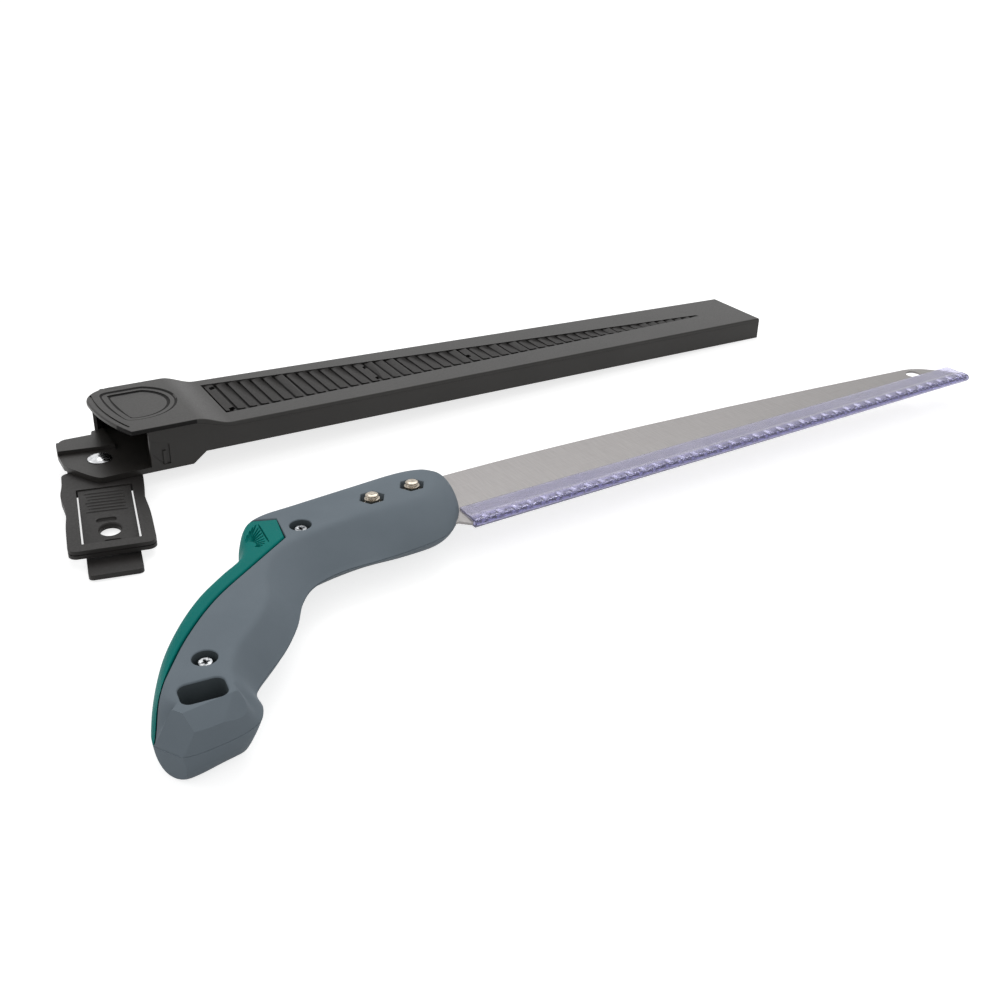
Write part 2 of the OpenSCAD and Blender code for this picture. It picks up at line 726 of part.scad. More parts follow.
// Plan of the clip's frame about the rivet, x along the clip, drawn in by inset
module clip_plan(inset) {
    difference() {
        union() {
            circle(clip_root_r - inset);
            translate([0, inset - clip_root_r]) square([window_from, 2 * (clip_root_r - inset)]);
            translate([(frame_from + clip_reach) / 2, 0])
                round_plan([clip_reach - frame_from - 2 * inset, clip_w - 2 * inset], clip_corner - inset);
        }
        translate([window_from, -window_w / 2]) square([clip_reach - frame_bar - window_from, window_w]);
    }
}

// Side profile of the spring tongue, x along the clip
module tongue_profile() {
    start = window_from - tongue_root;
    bend = clip_reach - frame_bar - tongue_flat;
    finish = clip_reach + tab_len;
    polygon([[start, clip_top], [window_from, clip_top - tongue_dip], [bend, tab_top], [finish, tab_top],
        [finish, clip_low], [bend - tongue_t, clip_low], [window_from, clip_bottom], [start, clip_bottom]]);
}

// Plan of the spring tongue, the corners of its tab rounded
module tongue_plan() {
    finish = clip_reach + tab_len;
    translate([finish / 2, 0]) round_plan([finish, tongue_w], tab_corner);
}

module belt_clip() {
    color("dimgray") on_rivet() rotate(180 + clip_swing) difference() {
        union() {
            third = (clip_t - edge_groove) / 2;
            translate([0, 0, clip_bottom]) linear_extrude(third) clip_plan(0);
            translate([0, 0, clip_bottom + third]) linear_extrude(edge_groove) clip_plan(edge_groove);
            translate([0, 0, clip_bottom + third + edge_groove]) linear_extrude(third) clip_plan(0);
            intersection() {
                translate([0, tongue_w / 2, 0]) rotate([90, 0, 0]) linear_extrude(tongue_w) tongue_profile();
                linear_extrude(2 * far, center = true) tongue_plan();
            }
        }
        translate([0, 0, -far]) cylinder(h = 2 * far, d = rivet_d + 2 * run_gap);
        translate([tongue_hole_from, 0, -far]) cylinder(h = 2 * far, d = tongue_hole_d);
    }
}

module blade_bolt_front() {
    blade_bolt(bolt_front);
}

module blade_bolt_rear() {
    blade_bolt(bolt_rear);
}

module blade_nut_front() {
    blade_nut(bolt_front);
}

module blade_nut_rear() {
    blade_nut(bolt_rear);
}

module neck_screw() {
    shell_screw(neck_screw_at);
}

module butt_screw() {
    shell_screw(butt_screw_at);
}

blade();
handle_upper_shell();
handle_lower_shell();
spine_insert();
blade_bolt_front();
blade_bolt_rear();
blade_nut_front();
blade_nut_rear();
neck_screw();
butt_screw();
blade_guard();
sheath_cover();
sheath_tray();
hanger_rivet();
hanger_washer();
belt_clip();
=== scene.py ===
import math

import bmesh
import bpy
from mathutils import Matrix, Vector


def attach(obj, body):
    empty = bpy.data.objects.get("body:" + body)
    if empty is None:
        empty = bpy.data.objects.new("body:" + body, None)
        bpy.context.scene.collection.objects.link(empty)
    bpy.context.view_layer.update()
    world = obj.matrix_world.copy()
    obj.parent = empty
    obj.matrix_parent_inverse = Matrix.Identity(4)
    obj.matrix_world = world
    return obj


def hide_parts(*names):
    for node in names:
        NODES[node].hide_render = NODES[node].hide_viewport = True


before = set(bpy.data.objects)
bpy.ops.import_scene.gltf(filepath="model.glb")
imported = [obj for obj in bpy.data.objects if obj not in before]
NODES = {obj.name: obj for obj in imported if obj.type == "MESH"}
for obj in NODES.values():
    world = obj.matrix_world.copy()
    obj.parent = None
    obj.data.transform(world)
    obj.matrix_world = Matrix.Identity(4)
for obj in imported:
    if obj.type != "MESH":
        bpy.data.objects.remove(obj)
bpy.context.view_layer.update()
MM = 0.001

# Grip: rows of its edge from the nose on: x, y, set-back of the flat side, squareness of the shoulder.
# The places are the solid's, some set-backs and shoulders are softer.
EDGE = [
    (33.5, 6, 11, 1.8), (29.8, -7, 13, 1.75), (22.6, -17.8, 15, 1.65), (12, -26, 17, 1.5),
    (-5, -29, 18, 1.32), (-22, -29.6, 18, 1.1), (-38, -29.5, 15.5, 1.03), (-52.5, -34, 16.5, 1.06),
    (-61.5, -42.8, 14, 1.12), (-69.5, -56.5, 10.5, 1.1), (-80, -69.8, 9.5, 1.08), (-92, -81, 9, 1.1),
    (-98.3, -88.5, 7.5, 1.15), (-99.3, -97.5, 9, 1.2), (-104.5, -104.8, 7.5, 1.4), (-117, -108.2, 4, 5),
    (-131.6, -107.8, 4, 5), (-137.8, -98.8, 10, 1.25), (-135.6, -86.3, 7.5, 1.6), (-126.6, -66.4, 6.5, 2),
    (-115.6, -48.9, 6.5, 2), (-103, -34, 6.5, 2), (-90, -23, 6.5, 2), (-80.3, -16.3, 6, 2),
    (-76, -10.5, 5, 2), (-73, -1.3, 5, 2), (-67.2, 8.8, 5, 2), (-57.8, 15, 7, 2),
    (-42, 18.4, 10, 2), (-15, 21.8, 12, 2), (10, 24, 13, 2), (24.3, 21.3, 12, 1.8),
    (31.5, 14.3, 11, 1.7)]
# Set-back and shoulder in the lower half, where they differ: rows of the nose and of the butt
LOW_ROWS = {1: (14.2, 1.65), 2: (16.5, 1.5), 3: (19, 1.36), 4: (20.2, 1.22), 5: (20, 1.07), 6: (17, 1.02),
            14: (7, 1.2), 15: (8, 1.5), 16: (7, 2), 17: (5.5, 2.2)}
LOW_EDGE = [row[:2] + LOW_ROWS.get(i, row[2:]) for i, row in enumerate(EDGE)]
# Facets of the butt's upper half, their heights as shares of the half thickness
FACETS = [((-127.5, -108.2, 0.71), (-116.5, -108.1, 0.64), (-121.4, -102.0, 1)),
          ((-116.5, -108.1, 0.64), (-103.2, -103.6, 0.52), (-112.6, -101.9, 1)),
          ((-138.3, -96.8, 0), (-131.8, -107.3, 0), (-128.4, -102.6, 1))]
# The corner facet goes on below the parting plane, steeper
LOW_FACETS = [((-138.3, -96.8, 0), (-131.8, -107.3, 0), (-133.4, -101.1, 1))]
HALF_T = 14.0
SEAM = [(-56.0, -12.6), (-74.0, -25.5), (-96.2, -42.1), (-113.4, -60.5), (-126.9, -79.6), (-137.9, -96.8)]
SPINE_HEAD = [(-78, 12.8), (-53.4, 2.8)]
SPINE_GAP = 0.7
# Below the parting plane the spine ends sooner
SPINE_LOW_END = -90.0
# Thumb rest: ribs from a middle near the edge to a curve, and a line that closes them
FAN_AT = (-72.0, -12.2)
FAN_ENDS = [(-70.3, -5.2), (-67.9, -2.2), (-65.2, 0.6), (-62.8, 2.6), (-62.5, -0.6), (-62.7, -3.7),
            (-63.1, -7.0), (-63.7, -10.3), (-64.2, -12.6), (-65.8, -14.5), (-67.4, -15.3)]
# Count of ribs, how far from the middle they begin, at most as a share of the way, their section
FAN_RIBS, FAN_FROM, FAN_SKIP_MOST, RIB_HALF_W, RIB_DEPTH = 14, 3.6, 0.55, 0.38, 0.95
FAN_LINE = [(-61.7, 2.4), (-63.1, -13.4)]
BOLTS = [(10.222, 0.751), (-10.222, -0.751)]
SCREWS = [(-46.5, -6.9), (-111.8, -76.8)]
SLOT_AT, SLOT_SIZE, SLOT_TURN, SLOT_R = (-118.4, -94.3), (16.4, 11.6), -6.0, 3.5
TOP = 2 * HALF_T
# Reach of cutting tools past the grip in plan, and past a surface
FAR, PAST = 200.0, 5.0
# What is taken as one: points, points of a solid and short edges in metres, flat faces in degrees
WELD, SAME_SPOT, TINY_EDGE, FLAT_TURN = 1e-7, 2e-6, 5e-6, 0.6


def spline(a, b, c, d, t):
    """Point at the share t of the way from b to c on a curve through four points."""
    return tuple((2 * q + (r - p) * t + (2 * p - 5 * q + 4 * r - s) * t * t
                  + (3 * q - p - 3 * r + s) * t ** 3) / 2
                 for p, q, r, s in zip(a, b, c, d))


def closed_curve(rows, steps):
    n = len(rows)
    return [spline(rows[i - 1], rows[i], rows[(i + 1) % n], rows[(i + 2) % n], k / steps)
            for i in range(n) for k in range(steps)]


def open_curve(pts, steps):
    m = len(pts) - 1
    out = [spline(pts[max(i - 1, 0)], pts[i], pts[i + 1], pts[min(i + 2, m)], k / steps)
           for i in range(m) for k in range(steps)]
    return out + [pts[m]]


def right_of(a, b):
    """Direction to the right of the way from a to b."""
    dx, dy = b[0] - a[0], b[1] - a[1]
    size = math.hypot(dx, dy)
    return dy / size, -dx / size


def beside(pts, gap):
    """A line at a gap to the right of another."""
    m = len(pts) - 1
    out = []
    for i, p in enumerate(pts):
        r = right_of(pts[max(i - 1, 0)], pts[min(i + 1, m)])
        out.append((p[0] + gap * r[0], p[1] + gap * r[1]))
    return out


def step(lo, hi, x):
    """0 up to lo, 1 from hi on, and a soft rise between them."""
    t = min(max((x - lo) / (hi - lo), 0), 1)
    return t * t * (3 - 2 * t)


def link(obj):
    bpy.context.scene.collection.objects.link(obj)
    return obj


def mesh_object(name, verts, faces):
    """A new object from points in millimetres."""
    mesh = bpy.data.meshes.new(name)
    mesh.from_pydata([tuple(c * MM for c in v) for v in verts], [], faces)
    mesh.validate()
    return link(bpy.data.objects.new(name, mesh))


def edit_mesh(obj):
    bm = bmesh.new()
    bm.from_mesh(obj.data)
    return bm


def keep_edit(bm, obj):
    bm.to_mesh(obj.data)
    bm.free()


def recalc(obj):
    """Joins points at one place and turns the faces outwards."""
    bm = edit_mesh(obj)
    bmesh.ops.remove_doubles(bm, verts=bm.verts, dist=WELD)
    bmesh.ops.recalc_face_normals(bm, faces=bm.faces)
    keep_edit(bm, obj)


def cut_plane(bm, at, normal):
    """Cuts the faces of a mesh along a plane through a point in millimetres."""
    bmesh.ops.bisect_plane(bm, geom=bm.verts[:] + bm.edges[:] + bm.faces[:], dist=WELD,
                           plane_co=Vector(at) * MM, plane_no=normal)


def bevel(bm, edges, width, segments, clamp):
    bmesh.ops.bevel(bm, geom=edges, offset=width * MM, segments=segments, profile=0.5, affect="EDGES",
                    clamp_overlap=clamp)


def ring_solid(name, rings, closed=False):
    """Solid through rings of equal count, its ends capped or, if closed, joined."""
    n, m = len(rings[0]), len(rings)
    verts = [p for ring in rings for p in ring]
    faces = [[j * n + i, j * n + (i + 1) % n, (j + 1) % m * n + (i + 1) % n, (j + 1) % m * n + i]
             for j in range(m if closed else m - 1) for i in range(n)]
    if not closed:
        faces.append(list(range(n - 1, -1, -1)))
        faces.append([(m - 1) * n + i for i in range(n)])
    obj = mesh_object(name, verts, faces)
    recalc(obj)
    return obj


def stack(name, levels, place=None):
    """Solid from outlines of equal count: levels is a list of (outline, z), place moves a point."""
    rings = [[(x, y, z) for x, y in outline] for outline, z in levels]
    if place:
        rings = [[place(*p) for p in ring] for ring in rings]
    return ring_solid(name, rings)


def boolean(obj, others, kind):
    """Applies boolean steps to obj and deletes the tools."""
    for other in others:
        mod = obj.modifiers.new("cut", "BOOLEAN")
        mod.operation = kind
        mod.solver = "MANIFOLD"
        mod.object = other
    apply_modifiers(obj)
    for other in others:
        bpy.data.objects.remove(other)


def apply_modifiers(obj):
    """Makes the mesh that the modifiers give the object's own."""
    graph = bpy.context.evaluated_depsgraph_get()
    graph.update()
    done = bpy.data.meshes.new_from_object(obj.evaluated_get(graph))
    obj.modifiers.clear()
    old = obj.data
    obj.data = done
    bpy.data.meshes.remove(old)


def flat_normals(obj, weight):
    """Lets large flat faces keep their own normals."""
    nor = obj.modifiers.new("normals", "WEIGHTED_NORMAL")
    nor.keep_sharp = True
    nor.weight = weight


def soften(obj, width, segments, angle):
    """Rounded edges with clean shading."""
    obj.data.shade_smooth()
    bev = obj.modifiers.new("edges", "BEVEL")
    bev.width = width * MM
    bev.segments = segments
    bev.limit_method = "ANGLE"
    bev.angle_limit = math.radians(angle)
    bev.use_clamp_overlap = False
    bev.harden_normals = True
    bev.miter_outer = "MITER_ARC"
    flat_normals(obj, 80)


def bare_copy(node, name):
    """A copy of a CAD node with its flat faces whole again."""
    mesh = NODES[node].data.copy()
    mesh.name = name
    obj = link(bpy.data.objects.new(name, mesh))
    bm = edit_mesh(obj)
    bmesh.ops.remove_doubles(bm, verts=bm.verts, dist=SAME_SPOT)
    bmesh.ops.dissolve_limit(bm, angle_limit=math.radians(FLAT_TURN), verts=bm.verts, edges=bm.edges,
                             use_dissolve_boundaries=False)
    bmesh.ops.dissolve_degenerate(bm, edges=bm.edges, dist=TINY_EDGE)
    bmesh.ops.recalc_face_normals(bm, faces=bm.faces)
    keep_edit(bm, obj)
    mesh.materials.clear()
    return obj


def node_copy(node, name, width, segments=3, angle=32.0):
    """A copy of a CAD node with its edges rounded."""
    obj = bare_copy(node, name)
    soften(obj, width, segments, angle)
    return obj


def finish_piece(obj, body, material, slot, *nodes):
    """Gives a piece its material and the body that it rides on, and hides the nodes that it replaces; the
    slot is not used.
    """
    obj.data.materials.clear()
    obj.data.materials.append(material)
    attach(obj, body)
    if nodes:
        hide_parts(*nodes)
    return obj


# Materials

# Ranges of a noise's values that are spread out for tint and for roughness
TINT_NOISE, ROUGH_NOISE = (0.35, 0.65), (0.3, 0.7)
# Scale of the tint drift in mouldings and of the cloud in the clear guard
DRIFT, CLOUD = 28, 60
# The guard's nose has a deeper tint, in two steps along Y, in metres
NOSE_TINT, BAND_TINT = (-0.0238, -0.0226), (-0.0205, -0.0185)


def srgb(r, g, b):
    """Linear colour of a colour from 0 to 255."""
    return tuple(((c / 255 + 0.055) / 1.055) ** 2.4 if c > 10 else c / 255 / 12.92
                 for c in (r, g, b)) + (1.0,)


def fill(node, values):
    """Sets constants on a node's sockets; _ stands for a blank in a socket's name."""
    for key, value in values.items():
        node.inputs[key.replace("_", " ")].default_value = value


class Mat:
    """Small helper round one procedural material."""

    def __init__(self, name):
        self.mat = bpy.data.materials.new(name)
        self.mat.use_nodes = True
        self.tree = self.mat.node_tree
        self.tree.nodes.clear()
        self.out = self.add("ShaderNodeOutputMaterial")
        self.bsdf = self.add("ShaderNodeBsdfPrincipled")
        self.link(self.bsdf.outputs["BSDF"], self.out.inputs["Surface"])
        self.coord = self.add("ShaderNodeTexCoord").outputs["Object"]

    def add(self, kind, **values):
        node = self.tree.nodes.new(kind)
        fill(node, values)
        return node

    def link(self, a, b):
        self.tree.links.new(a, b)

    def set(self, **values):
        fill(self.bsdf, values)

    def stretched(self, scale):
        node = self.add("ShaderNodeMapping", Scale=scale)
        self.link(self.coord, node.inputs["Vector"])
        return node.outputs["Vector"]

    def noise(self, scale, detail=2.0, rough=0.5, vector=None):
        node = self.add("ShaderNodeTexNoise", Scale=scale, Detail=detail, Roughness=rough)
        self.link(vector or self.coord, node.inputs["Vector"])
        return node.outputs["Fac"]

    def ramp(self, value, lo, hi, a, b):
        """Maps value from lo..hi to a..b."""
        node = self.add("ShaderNodeMapRange", From_Min=lo, From_Max=hi, To_Min=a, To_Max=b)
        self.link(value, node.inputs["Value"])
        return node.outputs["Result"]

    def mix(self, fac, a, b):
        """Mixes two colours, each a constant or a socket."""
        node = self.add("ShaderNodeMix")
        node.data_type = "RGBA"
        self.link(fac, node.inputs["Factor"])
        for socket, colour in ((node.inputs[6], a), (node.inputs[7], b)):
            if isinstance(colour, tuple):
                socket.default_value = colour
            else:
                self.link(colour, socket)
        return node.outputs[2]

    def bump(self, height, strength, distance):
        node = self.add("ShaderNodeBump", Strength=strength, Distance=distance)
        self.link(height, node.inputs["Height"])
        self.link(node.outputs["Normal"], self.bsdf.inputs["Normal"])


def moulded(name, dark, light, rough, grain, depth, gloss, swing=0.05):
    """Moulded plastic: slight tint drift, fine grain in the bump and in the gloss."""
    m = Mat(name)
    drift = m.ramp(m.noise(DRIFT, 3), *TINT_NOISE, 0, 1)
    m.link(m.mix(drift, dark, light), m.bsdf.inputs["Base Color"])
    fine = m.noise(grain, 3, 0.6)
    m.link(m.ramp(fine, *ROUGH_NOISE, rough - swing, rough + swing), m.bsdf.inputs["Roughness"])
    m.bump(fine, 0.5, depth)
    m.set(Specular_IOR_Level=gloss)
    return m.mat


grip = moulded("grip_plastic", srgb(116, 126, 134), srgb(122, 132, 140),
               rough=0.6, grain=1500, depth=0.00008, gloss=0.06)
# Painted shade: darker grip plastic for the inner walls of the slot and the screw wells
recess_shade = moulded("grip_painted_shade", srgb(78, 86, 90), srgb(86, 94, 98),
               rough=0.7, grain=1500, depth=0.00008, gloss=0.04)
spine = moulded("spine_plastic", srgb(0, 117, 111), srgb(2, 125, 118),
                rough=0.5, grain=900, depth=0.00003, gloss=0.06)
sheath = moulded("sheath_plastic", srgb(36, 34, 32), srgb(42, 40, 38),
                 rough=0.38, grain=1100, depth=0.00004, gloss=0.33)
slats = moulded("sheath_slats", srgb(36, 34, 33), srgb(42, 40, 39),
                rough=0.5, grain=1100, depth=0.00004, gloss=0.2)
# Painted shade: near-black plastic on the faces of the cover's slits and head grooves
groove_shade = moulded("sheath_painted_shade", srgb(12, 11, 11), srgb(18, 17, 16),
                rough=0.6, grain=1100, depth=0.00004, gloss=0.15)
clip = moulded("clip_plastic", srgb(36, 34, 33), srgb(43, 41, 40),
               rough=0.48, grain=900, depth=0.00006, gloss=0.25, swing=0.07)


def steel_sheet():
    """Ground steel: grain along the blade in the gloss, grain across it in the tint and the bump."""
    m = Mat("blade_steel")
    long_grain = m.noise(1, 3, 0.6, m.stretched((60, 2600, 400)))
    cross_grain = m.noise(1, 2, 0.5, m.stretched((2200, 90, 400)))
    tint = m.ramp(cross_grain, *TINT_NOISE, 0, 1)
    m.link(m.mix(tint, srgb(139, 136, 135), srgb(146, 143, 142)), m.bsdf.inputs["Base Color"])
    m.link(m.ramp(long_grain, *ROUGH_NOISE, 0.34, 0.46), m.bsdf.inputs["Roughness"])
    m.bump(cross_grain, 0.15, 0.00002)
    m.set(Metallic=0.9)
    return m.mat


def plated(name, dark, light, rough):
    """Bright plated metal with small stains in tint and gloss."""
    m = Mat(name)
    m.link(m.mix(m.ramp(m.noise(700, 3), *TINT_NOISE, 0, 1), dark, light), m.bsdf.inputs["Base Color"])
    m.link(m.ramp(m.noise(1600, 2), *ROUGH_NOISE, rough - 0.05, rough + 0.08), m.bsdf.inputs["Roughness"])
    m.set(Metallic=1.0)
    return m.mat


def clear_plastic():
    """Clear plastic with a violet tint, deeper at the nose."""
    m = Mat("guard_plastic")
    place = m.add("ShaderNodeSeparateXYZ")
    m.link(m.coord, place.inputs[0])
    across = place.outputs["Y"]
    cloud = m.ramp(m.noise(CLOUD, 2), *TINT_NOISE, 0, 1)
    band = m.mix(cloud, srgb(227, 225, 250), srgb(234, 232, 252))
    nose = m.mix(m.ramp(across, *NOSE_TINT, 0, 1), srgb(172, 170, 204), srgb(206, 203, 241))
    m.link(m.mix(m.ramp(across, *BAND_TINT, 0, 1), nose, band), m.bsdf.inputs["Base Color"])
    m.link(m.ramp(m.noise(500, 2), *ROUGH_NOISE, 0.08, 0.18), m.bsdf.inputs["Roughness"])
    m.set(Transmission_Weight=0.86, IOR=1.46)
    return m.mat


blade_steel = steel_sheet()
nickel = plated("nickel_steel", srgb(158, 149, 136), srgb(188, 179, 166), 0.16)
zinc = plated("zinc_steel", srgb(205, 206, 208), srgb(230, 231, 233), 0.2)
# Screw zinc mottled from dark to light grey: dark marks on the heads, and painted shade of the wells they sit
# in
marked_shaded_zinc = plated("screw_steel", srgb(96, 99, 102), srgb(188, 190, 192), 0.26)
guard_clear = clear_plastic()

# Grip: fine loft through the rows, the crease to the flat side rounded

FINE = {1: closed_curve(EDGE, 8), -1: closed_curve(LOW_EDGE, 8)}
LEVELS = [math.sin(math.radians(t)) for t in range(0, 91, 3)]
# Rounding at the parting line, and how far its middle point stands in as a share
PARTING_R, LIP_TURN = 0.35, 0.3
# Radius of the crease; along x to the nose and y to the butt it shrinks: from, to, share taken off
CREASE_R, CREASE_NOSE, CREASE_BUTT = 1.8, (4, 18, 0.62), (-92, -100, 0.7)
# Steps of a column, and of its smoothing to each side
COLUMN, SMOOTH = 26, 6
# Run past the crease's radius, and how many times as long the flat line is
FLAT_RUN, FLAT_REACH = 0.08, 4
# Half length, half width and height of the block that cuts a facet
FACET_BLOCK = (70, 70, 40)
# Grooves: steps of the round, share of the width at the ends, and share of the depth along the run
GROOVE_ARC, GROOVE_END_W = 10, 0.4
GROOVE_RUN = ((0, 0.12), (0.07, 0.75), (0.14, 1), (0.86, 1), (0.93, 0.75), (1, 0.12))
QUARTER_TURN = [math.radians(15 * k) for k in range(7)]
# Pockets: radius or width across flats, depth, rounding of the rim
NUT_ACROSS, NUT_POCKET, NUT_LIP = 10.4, 6.2, 0.35
WELL_R, WELL_DEPTH, WELL_LIP = 4.7, 5.0, 0.5
BOLT_HEAD_R, BOLT_HEAD_DEPTH, BOLT_HEAD_LIP = 6.25, 5.0, 0.4
SLOT_LIP, SLOT_OVER = 0.7, 1.0
# Rounding along the seam on the grip and on the spine, and height of the spine's step over the parting plane
SEAM_LIP, SPINE_LIP, SPINE_STEP = 0.7, 0.9, 0.15
# Painted shade on the recesses' inner walls, a darker material: reach past their walls, depth at which it
# begins
SHADE_REACH, SHADE_FROM = 0.05, 0.8


def shrink(span, value):
    lo, hi, share = span
    return 1 - share * step(lo, hi, value)


def runs_of(line):
    """Length of a line up to each of its points."""
    run = [0.0]
    for a, b in zip(line, line[1:]):
        run.append(run[-1] + math.hypot(b[0] - a[0], b[1] - a[1]))
    return run


def point_at(line, run, s):
    """Point of a line after the length s."""
    s = min(max(s, 0), run[-1])
    for i in range(len(line) - 1):
        if s <= run[i + 1]:
            t = (s - run[i]) / max(run[i + 1] - run[i], 1e-9)
            return tuple(p + (q - p) * t for p, q in zip(line[i], line[i + 1]))
    return line[-1]


def column(row):
    """Points (inset, height) from the parting plane up and onto the flat side, with a soft crease."""
    x, y, w, e = row
    soft = CREASE_R * shrink(CREASE_NOSE, x) * shrink(CREASE_BUTT, y)
    flat = soft + FLAT_RUN
    line = [(w * (1 - max(1 - s ** e, 0) ** (1 / e)), HALF_T * s) for s in LEVELS]
    line.append((w + FLAT_REACH * flat, HALF_T))
    run = runs_of(line)
    count = 2 * SMOOTH + 1
    out = []
    for k in range(COLUMN + 1):
        s = (run[-2] + flat) * k / COLUMN
        h = min(soft, s)
        spots = [point_at(line, run, s + h * j / SMOOTH) for j in range(-SMOOTH, SMOOTH + 1)]
        out.append((sum(p[0] for p in spots) / count, sum(p[1] for p in spots) / count))
    out[-1] = (out[-1][0], HALF_T)
    lip = [(PARTING_R, 0.0), (LIP_TURN * PARTING_R, LIP_TURN * PARTING_R), (0.0, PARTING_R)]
    return lip + out[2:]


def handle_loft(name, *sides):
    """The grip as a closed solid: sides is 1 for the part above the parting plane, -1 for the one below."""
    n = len(FINE[1])
    cols = []
    for i in range(n):
        p = FINE[1][i]
        r = right_of(FINE[1][i - 1], FINE[1][(i + 1) % n])
        if len(sides) == 2:
            line = [(d, -h) for d, h in column(FINE[-1][i])[:1:-1]] + column(p)[2:]
        else:
            line = [(d, sides[0] * h) for d, h in column(FINE[sides[0]][i])]
        cols.append([(p[0] + d * r[0], p[1] + d * r[1], HALF_T + h) for d, h in line])
    return ring_solid(name, list(zip(*cols)))


def block(name, at, along, side, out, size):
    """A box that stands on a plane: size is half length, half width and height."""
    corners = ((-1, -1), (1, -1), (1, 1), (-1, 1))
    rings = [[at + along * (u * size[0]) + side * (v * size[1]) + out * (w * size[2]) for u, v in corners]
             for w in (0, 1)]
    return ring_solid(name, rings)


def facet_tools(side):
    """Blocks outside the planes of the butt's facets, above (1) or below (-1) the parting plane."""
    tools = []
    for i, corners in enumerate(FACETS if side > 0 else LOW_FACETS):
        a, b, c = (Vector((x, y, HALF_T * (1 + side * share))) for x, y, share in corners)
        along = (b - a).normalized()
        out = along.cross(c - a).normalized() * side
        tools.append(block("t_facet_%d" % i, a, along, out.cross(along), out, FACET_BLOCK))
    return tools


def groove(name, a, b, up, half_w, depth):
    """Tool for a round-bottomed groove along a surface from a to b, its ends run out."""
    a, b, up = Vector(a), Vector(b), Vector(up)
    side = up.cross(b - a).normalized()
    turns = [math.radians(180 + 180 / GROOVE_ARC * k) for k in range(GROOVE_ARC + 1)]
    section = [(-1.0, 1.0)] + [(math.cos(t), math.sin(t)) for t in turns] + [(1.0, 1.0)]
    rings = []
    for t, share in GROOVE_RUN:
        at = a + (b - a) * t
        wide = half_w * (GROOVE_END_W + (1 - GROOVE_END_W) * share)
        deep = depth * share
        rings.append([at + side * (u * wide) + up * (v * deep if v < 0 else v) for u, v in section])
    return ring_solid(name, rings)


def corner_line():
    """Groove of the parting line where it crosses the corner facet."""
    a, b = (Vector((x, y, HALF_T)) for x, y, share in LOW_FACETS[0][:2])
    out = Vector((b.y - a.y, a.x - b.x, 0)).normalized()
    return groove("t_corner_line", a, b, out, PARTING_R, PARTING_R)


def fan_tools():
    """Grooves of the thumb rest: the closing line and the ribs."""
    curve = open_curve(FAN_ENDS, 8)
    spans = [FAN_LINE]
    for i in range(FAN_RIBS):
        end = curve[round((len(curve) - 1) * i / (FAN_RIBS - 1))]
        skip = min(FAN_FROM / math.dist(FAN_AT, end), FAN_SKIP_MOST)
        spans.append((tuple(m + (e - m) * skip for m, e in zip(FAN_AT, end)), end))
    return [groove("t_rib_%d" % i, a + (TOP,), b + (TOP,), (0, 0, 1), RIB_HALF_W, RIB_DEPTH)
            for i, (a, b) in enumerate(spans)]


def spine_outline(gap, low=False):
    """Plan of all behind the seam, drawn out by gap; low is the one below the parting plane."""
    line = beside(open_curve(SEAM, 6), -gap)
    if low:
        line = [(x, max(y, SPINE_LOW_END - gap)) for x, y in line]
    r = right_of(SPINE_HEAD[1], SPINE_HEAD[0])
    head = [(p[0] + gap * r[0], p[1] + gap * r[1]) for p in SPINE_HEAD]
    return head + line + [(line[-1][0] - FAR, line[-1][1]), (-FAR, SPINE_HEAD[0][1])]


def round_outline(size, r, grow, steps=8):
    """Rounded rectangle about the origin."""
    hx, hy, rr = size[0] / 2 - r, size[1] / 2 - r, r + grow
    pts = []
    for cx, cy, start in ((hx, hy, 0), (-hx, hy, 90), (-hx, -hy, 180), (hx, -hy, 270)):
        for k in range(steps + 1):
            a = math.radians(start + 90 * k / steps)
            pts.append((cx + rr * math.cos(a), cy + rr * math.sin(a)))
    return pts


def placed(pts, at, turn=0.0):
    c, s = math.cos(math.radians(turn)), math.sin(math.radians(turn))
    return [(at[0] + x * c - y * s, at[1] + x * s + y * c) for x, y in pts]


def slot_outline(grow):
    return placed(round_outline(SLOT_SIZE, SLOT_R, grow), SLOT_AT, SLOT_TURN)


def circle_outline(at, r, count=48):
    turns = [2 * math.pi * k / count for k in range(count)]
    return [(at[0] + r * math.cos(a), at[1] + r * math.sin(a)) for a in turns]


def hex_outline(at, across, grow):
    return circle_outline(at, (across / 2 + grow) / math.cos(math.radians(30)), 6)


def flared(name, outline, low, top, lip):
    """Tool for a pocket whose rim is rounded: outline(grow) from height low to the surface at top."""
    sign = 1 if top > low else -1
    levels = [(outline(0), low)]
    for a in QUARTER_TURN:
        levels.append((outline(lip * (1 - math.cos(a))), top - sign * lip * (1 - math.sin(a))))
    levels.append((outline(lip), top + sign * PAST))
    return stack(name, levels)


def round_pocket(name, at, r, low, top, lip):
    return flared(name, lambda grow: circle_outline(at, r + grow), low, top, lip)


def nut_pocket(at):
    return flared("t_nut", lambda grow: hex_outline(at, NUT_ACROSS, grow), TOP - NUT_POCKET, TOP, NUT_LIP)


def seam_tool(name, gap, lip, middle):
    """Prism behind the seam; its rims at both flat sides are rounded out or, for a lip below 0, in."""
    under, over = [], []
    for a in QUARTER_TURN:
        grow, back = gap + lip * (1 - math.cos(a)), abs(lip) * (1 - math.sin(a))
        under.append((spine_outline(grow, True), back))
        over.append((spine_outline(grow), TOP - back))
    between = [(spine_outline(gap, True), middle), (spine_outline(gap), middle)]
    levels = [(under[-1][0], -PAST)] + under[::-1] + between + over + [(over[-1][0], TOP + PAST)]
    return stack(name, levels)


def crisp(obj, angle=20.0):
    """Smooth faces with sharp edges by angle."""
    obj.data.shade_smooth()
    obj.data.set_sharp_from_angle(angle=math.radians(angle))
    return obj


def plane_faced(obj, angle=30.0):
    """Sharp edges by angle, and large flat faces keep their own normals."""
    crisp(obj, angle)
    flat_normals(obj, 90)
    return obj


